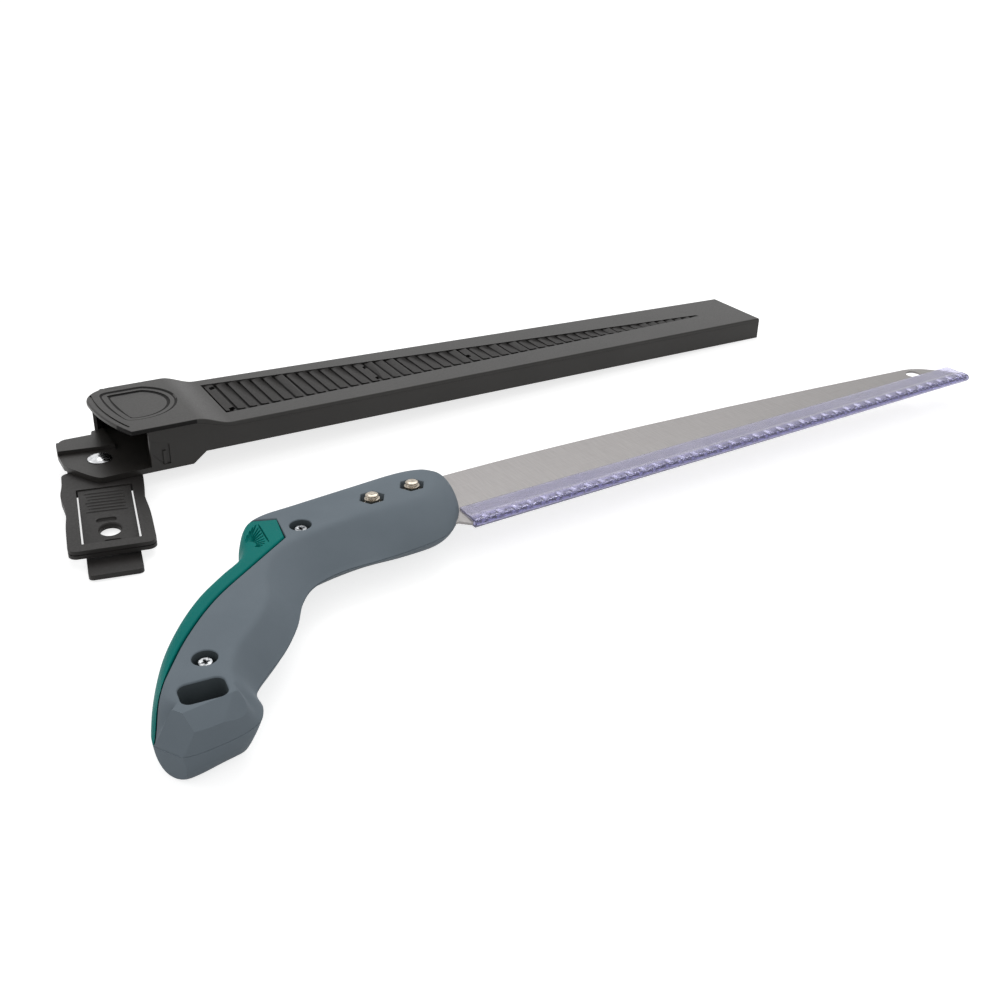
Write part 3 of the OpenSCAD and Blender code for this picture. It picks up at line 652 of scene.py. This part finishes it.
def shade_recesses(obj):
    """Paints shade on the inner walls of the slot and the screw wells: they get a darker material of their
    own.
    """
    obj.data.materials.append(recess_shade)
    turn = math.radians(-SLOT_TURN)
    for face in obj.data.polygons:
        x, y, z = (c / MM for c in face.center)
        u, v = x - SLOT_AT[0], y - SLOT_AT[1]
        u, v = u * math.cos(turn) - v * math.sin(turn), u * math.sin(turn) + v * math.cos(turn)
        in_slot = abs(u) < SLOT_SIZE[0] / 2 + SHADE_REACH and abs(v) < SLOT_SIZE[1] / 2 + SHADE_REACH
        in_well = any(math.dist((x, y), at) < WELL_R + SHADE_REACH for at in SCREWS)
        if (in_slot or in_well) and SHADE_FROM < z < TOP - SHADE_FROM:
            face.material_index = len(obj.data.materials) - 1


def grip_half(name, side, pockets, node):
    """The half of the grip above (1) or below (-1) the parting plane."""
    obj = handle_loft(name, side)
    outside = TOP if side > 0 else 0
    tools = facet_tools(side) + [corner_line(), seam_tool("t_spine", SPINE_GAP, SEAM_LIP, HALF_T)]
    tools.append(flared("t_slot", slot_outline, HALF_T - side * SLOT_OVER, outside, SLOT_LIP))
    boolean(obj, tools + pockets, "DIFFERENCE")
    finish_piece(crisp(obj), "saw", grip, "grip_plastic", node)
    shade_recesses(obj)


wells = [round_pocket("t_well", at, WELL_R, TOP - WELL_DEPTH, TOP, WELL_LIP) for at in SCREWS]
grip_half("grip_upper", 1, [nut_pocket(at) for at in BOLTS] + wells, "handle_upper_shell")
heads = [round_pocket("t_head", at, BOLT_HEAD_R, BOLT_HEAD_DEPTH, 0, BOLT_HEAD_LIP) for at in BOLTS]
grip_half("grip_lower", -1, heads, "handle_lower_shell")

insert = handle_loft("spine", -1, 1)
boolean(insert, [seam_tool("t_keep", 0, -SPINE_LIP, HALF_T + SPINE_STEP)], "INTERSECT")
boolean(insert, facet_tools(1) + facet_tools(-1) + fan_tools(), "DIFFERENCE")
finish_piece(crisp(insert), "saw", spine, "spine_plastic", "spine_insert")

# Fasteners: copies of the solids, the nuts set lower, the screws slimmer, the bolts with a threaded end

NUT_EDGE, BOLT_EDGE, SCREW_EDGE, RIVET_EDGE = 0.25, 0.5, 0.4, 0.3
# How far a nut's top is lowered, and how deep the points lie that move with it
NUT_SINK, NUT_TOP_ZONE = 1.5, 2.0
SCREW_SHARE, SCREW_RISE = 0.76, 0.4
THREADS, THREAD_PITCH, THREAD_R, CORE_R, STUD_RISE = 5, 0.9, 2.95, 2.5, 1.7
# A ring of the thread: share of the pitch, radius. The stud's tip: radius, depth under its rim
THREAD_RING = ((0, CORE_R), (0.3, THREAD_R), (0.55, THREAD_R), (0.85, CORE_R))
STUD_TIP = ((2.85, 0.6), (2.85, 0.35), (2.3, 0.0), (1.2, -0.08))


def sink(obj):
    """Lowers the top of a copied nut."""
    top = max(v.co.z for v in obj.data.vertices)
    for v in obj.data.vertices:
        if v.co.z > top - NUT_TOP_ZONE * MM:
            v.co.z -= NUT_SINK * MM


def narrow(obj, at):
    """Draws a copied screw in towards its axis and lifts it a little."""
    for v in obj.data.vertices:
        v.co.z += SCREW_RISE * MM
        v.co.x = (at[0] + (v.co.x / MM - at[0]) * SCREW_SHARE) * MM
        v.co.y = (at[1] + (v.co.y / MM - at[1]) * SCREW_SHARE) * MM


def stud_end(at):
    """The threaded end of a bolt, which stands a little proud of the grip's flat side."""
    tip = TOP + STUD_RISE
    rings = []
    for k in range(THREADS):
        z = tip - STUD_TIP[0][1] - (THREADS - k) * THREAD_PITCH
        rings += [(r, z + share * THREAD_PITCH) for share, r in THREAD_RING]
    rings += [(r, tip - depth) for r, depth in STUD_TIP]
    return stack("t_stud", [(circle_outline(at, r, 40), z) for r, z in rings])


for end, at in zip(("front", "rear"), BOLTS):
    nut, bolt = "blade_nut_" + end, "blade_bolt_" + end
    sink(finish_piece(node_copy(nut, nut + "_look", NUT_EDGE), "saw", nickel, "nickel_steel", nut))
    look = finish_piece(node_copy(bolt, bolt + "_look", BOLT_EDGE), "saw", nickel, "nickel_steel", bolt)
    boolean(look, [stud_end(at)], "UNION")
    plane_faced(look)
for node, at in zip(("neck_screw", "butt_screw"), SCREWS):
    look = node_copy(node, node + "_look", SCREW_EDGE)
    narrow(finish_piece(look, "saw", marked_shaded_zinc, "zinc_steel", node), at)
for node in ("hanger_rivet", "hanger_washer"):
    finish_piece(node_copy(node, node + "_look", RIVET_EDGE), "sheath", zinc, "zinc_steel", node)

# Guard: a folded strip with a round nose, swept along the teeth, grip bumps over its shoulders

GUARD_X, GUARD_RUN, GUARD_Y, GUARD_H = 29.0, 322.6, -24.75, 15.6
GUARD_NOSE, GUARD_LIP, GUARD_IN, GUARD_WALL, HOLLOW_CUT = 2.05, 1.6, 0.85, 1.2, 0.5
BUMP_FIRST, BUMP_PITCH, BUMP_HALF, BUMP_RISE, BUMP_END = 6.4, 8.0, 1.5, 0.55, 2.0
# Distances from the nose: where the strip widens, where the bumps start above and where they start below
FLARE, BUMP_BACK, BUMP_UNDER = (7.5, 5.5), (5.6, 4.6), (2.6, 3.4)
# Degrees round the nose over which the bumps run out
BUMP_FRONT = (52, 34)
FLANK_STEPS, NOSE_STEPS, GUARD_STEP = 21, 9, 0.4


def guard_profile():
    """Half outline from the lip to the nose: (distance from the nose, height, normal, bump share)."""
    out = []
    for k in range(FLANK_STEPS + 1):
        u = GUARD_H - (GUARD_H - GUARD_NOSE) * k / FLANK_STEPS
        v = GUARD_LIP + (GUARD_NOSE - GUARD_LIP) * step(*FLARE, u)
        out.append((u, v, 0.0, 1.0, step(*BUMP_BACK, u)))
    for k in range(1, NOSE_STEPS + 1):
        turn = 90 / NOSE_STEPS * k
        c, s = math.cos(math.radians(turn)), math.sin(math.radians(turn))
        out.append((GUARD_NOSE * (1 - s), GUARD_NOSE * c, -s, c, step(*BUMP_FRONT, turn)))
    return out


def guard_strip():
    half = guard_profile()
    back = GUARD_WALL + HOLLOW_CUT
    hollow = [(GUARD_H, -GUARD_IN), (back, -GUARD_IN), (GUARD_WALL, HOLLOW_CUT - GUARD_IN),
              (GUARD_WALL, GUARD_IN - HOLLOW_CUT), (back, GUARD_IN), (GUARD_H, GUARD_IN)]
    count = int(GUARD_RUN / GUARD_STEP)
    rings = []
    for i in range(count + 1):
        x = GUARD_RUN * i / count
        off = (x - BUMP_FIRST + BUMP_PITCH / 2) % BUMP_PITCH - BUMP_PITCH / 2
        inside = BUMP_FIRST - BUMP_END < x < GUARD_RUN - BUMP_END
        bell = math.sqrt(max(1 - (off / BUMP_HALF) ** 2, 0)) * BUMP_RISE if inside else 0.0
        upper = [(u + nu * bell * share, v + nv * bell * share) for u, v, nu, nv, share in half]
        under = [(u, -v - nv * bell * share * step(*BUMP_UNDER, u)) for u, v, nu, nv, share in half[:-1]]
        rings.append([(GUARD_X + x, GUARD_Y + u, HALF_T + v) for u, v in upper + under[::-1] + hollow])
    return crisp(ring_solid("guard_strip", rings), 40)


# Sheath: copies of the solids with softer forms, slits and grooves cut in the sheath's own frame

# The sheath lies on its head and its toe, so it leans: rise and run
LEAN_RISE, LEAN_RUN = 13.8, 422.0
TILT = math.atan(LEAN_RISE / LEAN_RUN)
SHEATH_AT = (318.0, 113.0)
ROOF_Z, BODY_Z, NECK_X, FOOT_X, HEAD_W, TOE_W = 18.0, 13.0, -370.0, -352.0, 61.0, 44.0
# Arc of the head's bowed end: middle and radius
BOW_AT, BOW_R = (-307.2, 44.0), 105.0
# How far tools stand above the roof
OVER = 1.0
# Louvre field: start, pitch, count and end of its steps; each side's y at the start and its change to the end
LOUVRE_X, LOUVRE_PITCH, LOUVRE_N, LOUVRE_END = -351.0, 6.5, 49, -30.0
LOUVRE_FAR, LOUVRE_NEAR = (53.4, -30.4), (12.4, 8.6)
# Slits: width, gap to the field's sides, depth; the foot's length at most and as a part of the field's width
SLIT_W, SLIT_EDGE, SLIT_DEPTH, SLIT_FOOT = 1.45, 0.05, 1.85, (4.6, 3)
# The foot's outline: share of its length, reach at most and as a part of the field's width
SLIT_HOOK, SLIT_HEEL = ((1, 2.6, 4), (0.6, 3.2, 3.5)), (4.4, 3)
HOLES = [(-346.6, 47.6), (-346.4, 16.6), (-261.0, 20.4), (-260.8, 37.6), (-199.6, 27.9)]
HOLE_SIZE, HOLE_R, HOLE_DEPTH = (2.6, 3.6), 0.5, 1.9
# Shield: middle and radius of its round end, gap to the bowed end, near and far side
SHIELD_AT, SHIELD_R, SHIELD_GAP, SHIELD_NEAR, SHIELD_FAR = (-392.0, 34.5), 21.0, 8.0, 13.5, 53.5
# Its two grooves and the rim line: inset, half width, depth
SHIELD_GROOVES, RIM_LINE = ((0, 0.95, 0.72), (3.7, 1.45, 1.2)), (3.2, 0.5, 0.5)
# Points of a shield groove, degrees that round its corners, share of its half width at the floor
SHIELD_STEPS, SHIELD_SOFT, GROOVE_FLOOR = 160, (-4, -2, 0, 2, 4), 0.35
# The rim line along y: start, run, steps
RIM_FROM, RIM_RUN, RIM_STEPS = 5, 49, 30
# Far corner of the head: radius, reach and steps of its tool, lower end of the tool in cover and tray
CORNER_R, CORNER_OUT, CORNER_STEPS, COVER_LOW, TRAY_LOW = 16.0, 40, 24, 0.5, -2.7
# The tray's wall round it: degrees, steps, gap to the corner, inner side, lower end, gap to the roof
WALL_FROM, WALL_END, WALL_STEPS, WALL_GAP, WALL_IN, WALL_LOW, WALL_TOP = 86, 140.0, 20, 0.15, 2.0, -2.6, 2.05
# Ramp behind the head: cuts along it, and thickness of the skin that is moved
NECK_CUTS, NECK_SKIN = 12, 0.4
# The cover's outer top edge: rounding, error in height, least and most rise of its upper and outer normal
RIM_R, RIM_ERROR, RIM_UP, RIM_OUT = 0.8, 0.06, 0.8, 0.4
# How far in from near side, toe, bowed end and far side this edge lies at most, and the far corner
EDGE_NEAR, EDGE_TOE, EDGE_BOW, EDGE_FAR, EDGE_CORNER = 0.2, 0.3, 3, 1, (-402, 55)
# The tray's rounded edges: width, least length and angle, and the place at the mouth that stays sharp
TRAY_EDGE, TRAY_EDGE_LONG, TRAY_EDGE_TURN, TRAY_SHARP = 0.3, 12, 35, (-372, 3)
# Margins of the louvre field: past its ends, under the roof, past its sides
FIELD_END, FIELD_TOP, FIELD_SIDE = 0.2, 0.05, 0.1
# The cover's other materials, the slats and the painted shade of slits and grooves: depth and least normal of
# slats, place and depth of the head's grooves
SLAT_DEPTH, SLAT_UP, DARK_X, DARK_DEPTH = 1.2, 0.9, (-406.0, -370.5), (0.1, 1.9)
# Depths of the solid's flat steps in the shield, which get no painted shade
SHIELD_FLOORS, FLOOR_ERROR = (0.5, 1.0), 0.02


def on_sheath(x, y, z):
    return (SHEATH_AT[0] + x * math.cos(TILT) + z * math.sin(TILT), SHEATH_AT[1] + y,
            z * math.cos(TILT) - x * math.sin(TILT))


def from_sheath(co):
    """Place in the sheath's own frame, in millimetres, of a point in metres."""
    x, y, z = co[0] / MM - SHEATH_AT[0], co[1] / MM - SHEATH_AT[1], co[2] / MM
    return x * math.cos(TILT) - z * math.sin(TILT), y, x * math.sin(TILT) + z * math.cos(TILT)


def sheath_prism(name, plan, low, high):
    return stack(name, [(plan, low), (plan, high)], on_sheath)


def louvre_side(x, far):
    start, change = LOUVRE_FAR if far else LOUVRE_NEAR
    t = (x - LOUVRE_X) / (LOUVRE_END - LOUVRE_X)
    return start + change * t


def louvre_slits():
    """Hooked slits beside the louvre steps, one closed solid each in one mesh; their faces get painted shade.
    """
    verts, faces = [], []
    for i in range(LOUVRE_N):
        x = LOUVRE_X + LOUVRE_PITCH * i
        wide = louvre_side(x, True) - louvre_side(x, False)
        foot = min(SLIT_FOOT[0], wide / SLIT_FOOT[1])
        plan = [(SLIT_EDGE, False, SLIT_EDGE), (foot, False, SLIT_EDGE)]
        plan += [(share * foot, False, min(reach, wide / part)) for share, reach, part in SLIT_HOOK]
        plan.append((SLIT_W, False, min(SLIT_HEEL[0], wide / SLIT_HEEL[1])))
        plan += [(SLIT_W, True, -SLIT_EDGE), (SLIT_EDGE, True, -SLIT_EDGE)]
        ring = [(x + u, louvre_side(x + u, far) + v) for u, far, v in plan]
        n, at = len(ring), len(verts)
        verts += [on_sheath(a, b, z) for z in (BODY_Z - SLIT_DEPTH, BODY_Z + OVER) for a, b in ring]
        faces += [[at + k, at + (k + 1) % n, at + n + (k + 1) % n, at + n + k] for k in range(n)]
        faces += [[at + k for k in range(n - 1, -1, -1)], [at + n + k for k in range(n)]]
    obj = mesh_object("t_slits", verts, faces)
    recalc(obj)
    return obj


def small_holes():
    """Tools for the few small square holes between the slats."""
    plans = [placed(round_outline(HOLE_SIZE, HOLE_R, 0, 3), at) for at in HOLES]
    return [sheath_prism("t_hole", plan, BODY_Z - HOLE_DEPTH, BODY_Z + OVER) for plan in plans]


def shield_radius(a, inset):
    """How far the shield reaches from its middle in the direction a."""
    dx, dy = math.cos(a), math.sin(a)
    reach = SHIELD_R - inset
    if dx < 0:
        ox, oy = SHIELD_AT[0] - BOW_AT[0] - SHIELD_GAP - inset, SHIELD_AT[1] - BOW_AT[1]
        half = ox * dx + oy * dy
        reach = min(reach, -half + math.sqrt(half * half - ox * ox - oy * oy + BOW_R ** 2))
    for edge, way in ((SHIELD_NEAR + inset, -1), (SHIELD_FAR - inset, 1)):
        if dy * way > 1e-6:
            reach = min(reach, (edge - SHIELD_AT[1]) / dy)
    return reach


def shield_groove(inset, half_w, depth):
    """Tool for a groove along the shield's outline."""
    base = GROOVE_FLOOR * half_w
    section = ((half_w, OVER), (half_w, 0.0), (base, -depth),
               (-base, -depth), (-half_w, 0.0), (-half_w, OVER))
    rings = [[] for spot in section]
    for k in range(SHIELD_STEPS):
        a = 2 * math.pi * k / SHIELD_STEPS
        near = [shield_radius(a + math.radians(d), inset) for d in SHIELD_SOFT]
        for ring, (grow, z) in zip(rings, section):
            r = sum(near) / len(near) + grow
            ring.append(on_sheath(SHIELD_AT[0] + r * math.cos(a), SHIELD_AT[1] + r * math.sin(a), ROOF_Z + z))
    return ring_solid("t_shield", rings, True)


def arc_band(middle, way, radii, turns):
    """Plan of a band between two radii, its turns counted from plus x (way 1) or minus x (way -1)."""
    plan = []
    for r, order in zip(radii, (turns, turns[::-1])):
        plan += [(middle[0] + way * r * math.cos(a), middle[1] + r * math.sin(a)) for a in order]
    return plan


def bow_groove(inset, half_w, depth):
    """Tool for the rim line along the head's bowed end."""
    rows = [RIM_FROM + RIM_RUN * k / RIM_STEPS for k in range(RIM_STEPS + 1)]
    turns = [math.asin((y - BOW_AT[1]) / BOW_R) for y in rows]
    plan = arc_band(BOW_AT, -1, (BOW_R - inset + half_w, BOW_R - inset - half_w), turns)
    return sheath_prism("t_bow", plan, ROOF_Z - depth, ROOF_Z + OVER)


def corner_middle():
    y = HEAD_W - CORNER_R
    return BOW_AT[0] - math.sqrt((BOW_R - CORNER_R) ** 2 - (y - BOW_AT[1]) ** 2), y


def corner_wall():
    """The tray's far wall where it bends round the head's corner."""
    share = (WALL_END - WALL_FROM) / WALL_STEPS
    turns = [math.radians(WALL_FROM + share * k) for k in range(WALL_STEPS + 1)]
    plan = arc_band(corner_middle(), 1, (CORNER_R - WALL_GAP, CORNER_R - WALL_IN), turns)
    return sheath_prism("t_wall", plan, WALL_LOW, ROOF_Z - WALL_TOP)


def corner_tool(low):
    """Tool that rounds the far corner of the head to one arc from the bowed end to the side."""
    x, y = corner_middle()
    start = math.atan2(y - BOW_AT[1], x - BOW_AT[0])
    ways = [start + (math.pi / 2 - start) * k / CORNER_STEPS for k in range(CORNER_STEPS + 1)]
    plan = [(x + CORNER_R * math.cos(a), y + CORNER_R * math.sin(a)) for a in ways]
    plan += [(x, HEAD_W + PAST), (x - CORNER_OUT, HEAD_W + PAST), (x - CORNER_OUT, plan[0][1])]
    return sheath_prism("t_corner", plan, low, ROOF_Z + PAST)


def roof_height(x):
    return BODY_Z if x > FOOT_X else ROOF_Z + (BODY_Z - ROOF_Z) * step(NECK_X, FOOT_X, x)


def ease_neck(obj):
    """Turns the straight ramp behind the head into a soft one."""
    bm = edit_mesh(obj)
    normal = Vector((math.cos(TILT), 0, -math.sin(TILT)))
    for k in range(NECK_CUTS + 1):
        cut_plane(bm, on_sheath(NECK_X + (FOOT_X - NECK_X) * k / NECK_CUTS, 0, 0), normal)
    for v in bm.verts:
        x, y, z = from_sheath(v.co)
        t = (x - NECK_X) / (FOOT_X - NECK_X)
        ramp = ROOF_Z + (BODY_Z - ROOF_Z) * t
        if 0 < t < 1 and z > ramp - NECK_SKIN:
            v.co = Vector(on_sheath(x, y, z - ramp + roof_height(x))) * MM
    keep_edit(bm, obj)


def on_outline(x, y):
    """Whether a place lies at the cover's outer edge in plan."""
    bow = BOW_AT[0] - math.sqrt(BOW_R ** 2 - (y - BOW_AT[1]) ** 2)
    far = TOE_W + (HEAD_W - TOE_W) * min(x / FOOT_X, 1)
    return (y < EDGE_NEAR or x > -EDGE_TOE or x < bow + EDGE_BOW or y > far - EDGE_FAR
            or (x < EDGE_CORNER[0] and y > EDGE_CORNER[1]))


def round_rim(obj):
    """Rounds the outer top edge of the cover."""
    bm = edit_mesh(obj)
    rim = []
    for e in bm.edges:
        a, b = (from_sheath(v.co) for v in e.verts)
        if any(abs(z - roof_height(x)) > RIM_ERROR for x, y, z in (a, b)) or len(e.link_faces) != 2:
            continue
        ups = sorted(f.normal.z for f in e.link_faces)
        if ups[1] < RIM_UP or ups[0] > RIM_OUT:
            continue
        if on_outline((a[0] + b[0]) / 2, (a[1] + b[1]) / 2):
            rim.append(e)
    bevel(bm, rim, RIM_R, 3, False)
    keep_edit(bm, obj)


def at_mouth(x, y, z):
    return x < TRAY_SHARP[0] and y < TRAY_SHARP[1]


def ease_edges(obj):
    """Rounds the long edges of the tray away from the mouth, and leaves the small ones as they are."""
    bm = edit_mesh(obj)
    picked = [e for e in bm.edges if len(e.link_faces) == 2 and e.calc_length() > TRAY_EDGE_LONG * MM
              and e.calc_face_angle() > math.radians(TRAY_EDGE_TURN)
              and not at_mouth(*from_sheath((e.verts[0].co + e.verts[1].co) / 2))]
    bevel(bm, picked, TRAY_EDGE, 2, True)
    keep_edit(bm, obj)


def in_louvre(x, y, z):
    return (LOUVRE_X - FIELD_END < x < LOUVRE_END + FIELD_END and z < BODY_Z - FIELD_TOP
            and louvre_side(x, False) - FIELD_SIDE < y < louvre_side(x, True) + FIELD_SIDE)


def cover_shell():
    obj = bare_copy("sheath_cover", "cover_shell")
    boolean(obj, [corner_tool(COVER_LOW)], "DIFFERENCE")
    ease_neck(obj)
    round_rim(obj)
    tools = [louvre_slits()] + [shield_groove(*sizes) for sizes in SHIELD_GROOVES]
    tools.append(bow_groove(*RIM_LINE))
    boolean(obj, tools + small_holes(), "DIFFERENCE")
    return plane_faced(obj)


def cover_material(face):
    """Which material of the cover a face has: 0 the plastic, 1 the slats, 2 the painted shade in slits and
    grooves.
    """
    x, y, z = from_sheath(face.center)
    if in_louvre(x, y, z):
        return 1 if z > BODY_Z - SLAT_DEPTH and face.normal.z > SLAT_UP else 2
    depth = ROOF_Z - z
    in_head = DARK_X[0] < x < DARK_X[1] and DARK_DEPTH[0] < depth < DARK_DEPTH[1]
    return 2 if in_head and min(abs(depth - level) for level in SHIELD_FLOORS) > FLOOR_ERROR else 0


def tray_shell():
    obj = bare_copy("sheath_tray", "tray_shell")
    boolean(obj, [corner_tool(TRAY_LOW)], "DIFFERENCE")
    boolean(obj, [corner_wall()], "UNION")
    ease_edges(obj)
    return plane_faced(obj)


# Clip: wavy side bars, a tongue with cross ribs and pockets, in a frame with c along the clip and d across it

CLIP_TURN = math.radians(259)
RIVET = (-414.6, 21.5)
TONGUE_FROM, TONGUE_BEND, TONGUE_TOP, TAB_TOP = 26.0, 72.0, -6.4, -11.4
# Swells of the bars' outer sides at minus d and at plus d: height, middle and half run along c
MINUS_SWELLS, PLUS_SWELLS = ((0.7, 50, 9), (-1.1, 30, 8)), ((-1.2, 40, 12),)
# Cuts along the bars, inner side of the bars, where their swell begins and is full
BAR_CUTS, BAR_IN, BAR_SWELL = range(18, 82, 3), 12.4, (13.5, 18)
# The tongue's sides, and how far they are moved out
TONGUE_SIDE, TONGUE_OUT = 11, 0.5
# Cross ribs: first place, pitch, count, slant, ends, stagger of the ends, half width, depth
RIB_FROM, RIB_PITCH, RIBS, RIB_SLANT = 30, 2.6, 7, 0.5
RIB_ENDS, RIB_STAGGER, CROSS_HALF_W, CROSS_DEPTH = (-9.5, 9.2), (0.6, 0.7), 0.75, 0.4
# Oval pockets: middle, size along c and d, depth, lip
DENT, MOON = ((53, -1.0), (3.4, 9.0), 1.1, 0.4), ((70.5, 0.5), (2.6, 7.5), 1.0, 0.4)
# Their taper at the floor; wall, lip and corner rounding as shares
POCKET_TAPER, POCKET_WALL, POCKET_TURN, POCKET_ROUND = 0.4, 0.7, 0.3, 0.48
# The hole's middle, radius and lip; how far its tool reaches in, down and up
TONGUE_HOLE, RIM_IN, RIM_DOWN, RIM_RISE = ((61, 0), 4.8, 1.0), 0.3, 1.6, 1.5


def on_clip(c, d, z):
    return on_sheath(RIVET[0] + c * math.cos(CLIP_TURN) - d * math.sin(CLIP_TURN),
                     RIVET[1] + c * math.sin(CLIP_TURN) + d * math.cos(CLIP_TURN), z)


def from_clip(co):
    """Place in the clip's own frame, in millimetres, of a point in metres."""
    x, y, z = from_sheath(co)
    x, y = x - RIVET[0], y - RIVET[1]
    c, s = math.cos(CLIP_TURN), math.sin(CLIP_TURN)
    return x * c + y * s, y * c - x * s, z


def on_tongue(c, d, up):
    """A point over the tongue's upper side, which falls towards the tab."""
    t = min(max((c - TONGUE_FROM) / (TONGUE_BEND - TONGUE_FROM), 0), 1)
    return on_clip(c, d, TONGUE_TOP + (TAB_TOP - TONGUE_TOP) * t + up)


def swell(c, swells):
    return sum(high * math.exp(-((c - at) / run) ** 2) for high, at, run in swells)


def wave_bars(obj):
    """Bends the frame's side bars a little, as the moulding has it."""
    bm = edit_mesh(obj)
    for c in BAR_CUTS:
        cut_plane(bm, on_clip(c, 0, 0), Vector(on_clip(c + 1, 0, 0)) - Vector(on_clip(c, 0, 0)))
    for v in bm.verts:
        c, d, z = from_clip(v.co)
        outer = step(*BAR_SWELL, abs(d))
        if d < -BAR_IN:
            shift = outer * swell(c, MINUS_SWELLS)
        elif d > BAR_IN:
            shift = outer * swell(c, PLUS_SWELLS)
        elif abs(d) > TONGUE_SIDE and c < TONGUE_BEND:
            shift = math.copysign(TONGUE_OUT, d)
        else:
            continue
        v.co = Vector(on_clip(c, d + shift, z)) * MM
    keep_edit(bm, obj)


def clip_pocket(name, at, size, depth, lip):
    """Tool for an oval pocket in the tongue, size along and across the clip."""
    turn = POCKET_TURN * lip
    section = ((-POCKET_TAPER, -depth), (0, -POCKET_WALL * depth), (0, -lip),
               (turn, -turn), (lip, 0.0), (lip, OVER))
    corner = POCKET_ROUND * min(size)
    levels = [(placed(round_outline(size, corner, grow, 6), at), up) for grow, up in section]
    return stack(name, levels, on_tongue)


def hole_rim(name, at, r, lip):
    """Tool for the rounded rim of the hole in the tongue."""
    levels = [(circle_outline(at, r - RIM_IN), -RIM_DOWN)]
    for k in range(5):
        a = math.radians(22.5 * k)
        levels.append((circle_outline(at, r + lip * (1 - math.cos(a))), -lip * (1 - math.sin(a))))
    levels.append((circle_outline(at, r + lip), RIM_RISE))
    return stack(name, levels, on_tongue)


def clip_frame():
    obj = bare_copy("belt_clip", "clip_frame")
    wave_bars(obj)
    up = Vector(on_clip(0, 0, 1)) - Vector(on_clip(0, 0, 0))
    tools = []
    for k in range(RIBS):
        c = RIB_FROM + RIB_PITCH * k
        a = on_tongue(c, RIB_ENDS[0] + RIB_STAGGER[0] * (k % 3), 0)
        b = on_tongue(c + RIB_SLANT, RIB_ENDS[1] - RIB_STAGGER[1] * (k % 2), 0)
        tools.append(groove("t_wave", a, b, up, CROSS_HALF_W, CROSS_DEPTH))
    tools += [clip_pocket("t_dent", *DENT), clip_pocket("t_moon", *MOON), hole_rim("t_rim", *TONGUE_HOLE)]
    boolean(obj, tools, "DIFFERENCE")
    return plane_faced(obj)


# Blade, guard, sheath and clip

BLADE_EDGE = 0.12
finish_piece(node_copy("blade", "blade_sheet", BLADE_EDGE, 1, 40), "saw", blade_steel, "blade_steel", "blade")
finish_piece(guard_strip(), "guard", guard_clear, "guard_plastic", "blade_guard")
cover = finish_piece(cover_shell(), "sheath", sheath, "sheath_plastic", "sheath_cover")
cover.data.materials.append(slats)
cover.data.materials.append(groove_shade)
for face in cover.data.polygons:
    face.material_index = cover_material(face)
finish_piece(tray_shell(), "sheath", sheath, "sheath_plastic", "sheath_tray")
finish_piece(clip_frame(), "clip", clip, "clip_plastic", "belt_clip")

# Studio: camera at the photograph's place, pale floor, soft lamps

cam = bpy.data.cameras.new("camera")
cam.lens = 42.66
cam.sensor_width = 36
cam.clip_start = 0.01
camera = link(bpy.data.objects.new("camera", cam))
camera.location = (-0.1973, -0.4212, 0.2783)
camera.rotation_euler = (math.radians(61.143), 0, math.radians(-31.013))
bpy.context.scene.camera = camera


def lamp(name, at, size, watts):
    data = bpy.data.lights.new(name, "AREA")
    data.shape = "RECTANGLE"
    data.size, data.size_y = size
    data.energy = watts
    obj = link(bpy.data.objects.new(name, data))
    obj.location = at
    obj.rotation_euler = (Vector(MIDDLE) - Vector(at)).to_track_quat("-Z", "Y").to_euler()


# Where the lamps look
MIDDLE = (0.1, 0.05, 0.02)
WHITE = (1, 1, 1, 1)
# Floor: half its size, its height just under the object, in millimetres, and its glow
FLOOR_HALF, FLOOR_Z, FLOOR_GLOW = 4000, -0.3, 0.74
lamp("key", (0.5, 0.75, 1.1), (1.0, 0.8), 5.5)
lamp("side", (-0.9, 0.5, 0.8), (0.7, 0.7), 1.2)
lamp("fill", (-0.1, -1.2, 0.8), (1.2, 0.6), 1.2)


def backdrop_rays(tree):
    """1 where a ray should see plain white: straight from the camera, or mirrored or through glass."""
    path = tree.nodes.new("ShaderNodeLightPath")
    total = path.outputs["Is Camera Ray"]
    for name in ("Is Glossy Ray", "Is Transmission Ray"):
        both = tree.nodes.new("ShaderNodeMath")
        both.operation = "MAXIMUM"
        tree.links.new(total, both.inputs[0])
        tree.links.new(path.outputs[name], both.inputs[1])
        total = both.outputs[0]
    return total


def backdrop(tree, strength):
    node = tree.nodes.new("ShaderNodeBackground")
    fill(node, {"Color": WHITE, "Strength": strength})
    return node


world = bpy.data.worlds.new("studio")
world.use_nodes = True
bpy.context.scene.world = world
tree = world.node_tree
tree.nodes.clear()
out = tree.nodes.new("ShaderNodeOutputWorld")
soft = backdrop(tree, 0.55)
white = backdrop(tree, 1.0)
mixed = tree.nodes.new("ShaderNodeMixShader")
tree.links.new(backdrop_rays(tree), mixed.inputs["Fac"])
tree.links.new(soft.outputs[0], mixed.inputs[1])
tree.links.new(white.outputs[0], mixed.inputs[2])
tree.links.new(mixed.outputs[0], out.inputs["Surface"])

corners = [(x * FLOOR_HALF, y * FLOOR_HALF, FLOOR_Z) for x, y in ((-1, -1), (1, -1), (1, 1), (-1, 1))]
floor = mesh_object("floor", corners, [(0, 1, 2, 3)])
pale = Mat("floor_pale")
pale.set(Base_Color=(0.6, 0.6, 0.6, 1), Roughness=0.9, Specular_IOR_Level=0.0)
glow = pale.add("ShaderNodeEmission", Color=WHITE)
pale.link(pale.ramp(backdrop_rays(pale.tree), 0, 1, 0, FLOOR_GLOW), glow.inputs["Strength"])
both = pale.add("ShaderNodeAddShader")
pale.link(pale.bsdf.outputs["BSDF"], both.inputs[0])
pale.link(glow.outputs["Emission"], both.inputs[1])
pale.link(both.outputs["Shader"], pale.out.inputs["Surface"])
floor.data.materials.append(pale.mat)

bpy.context.scene.view_settings.view_transform = "Standard"
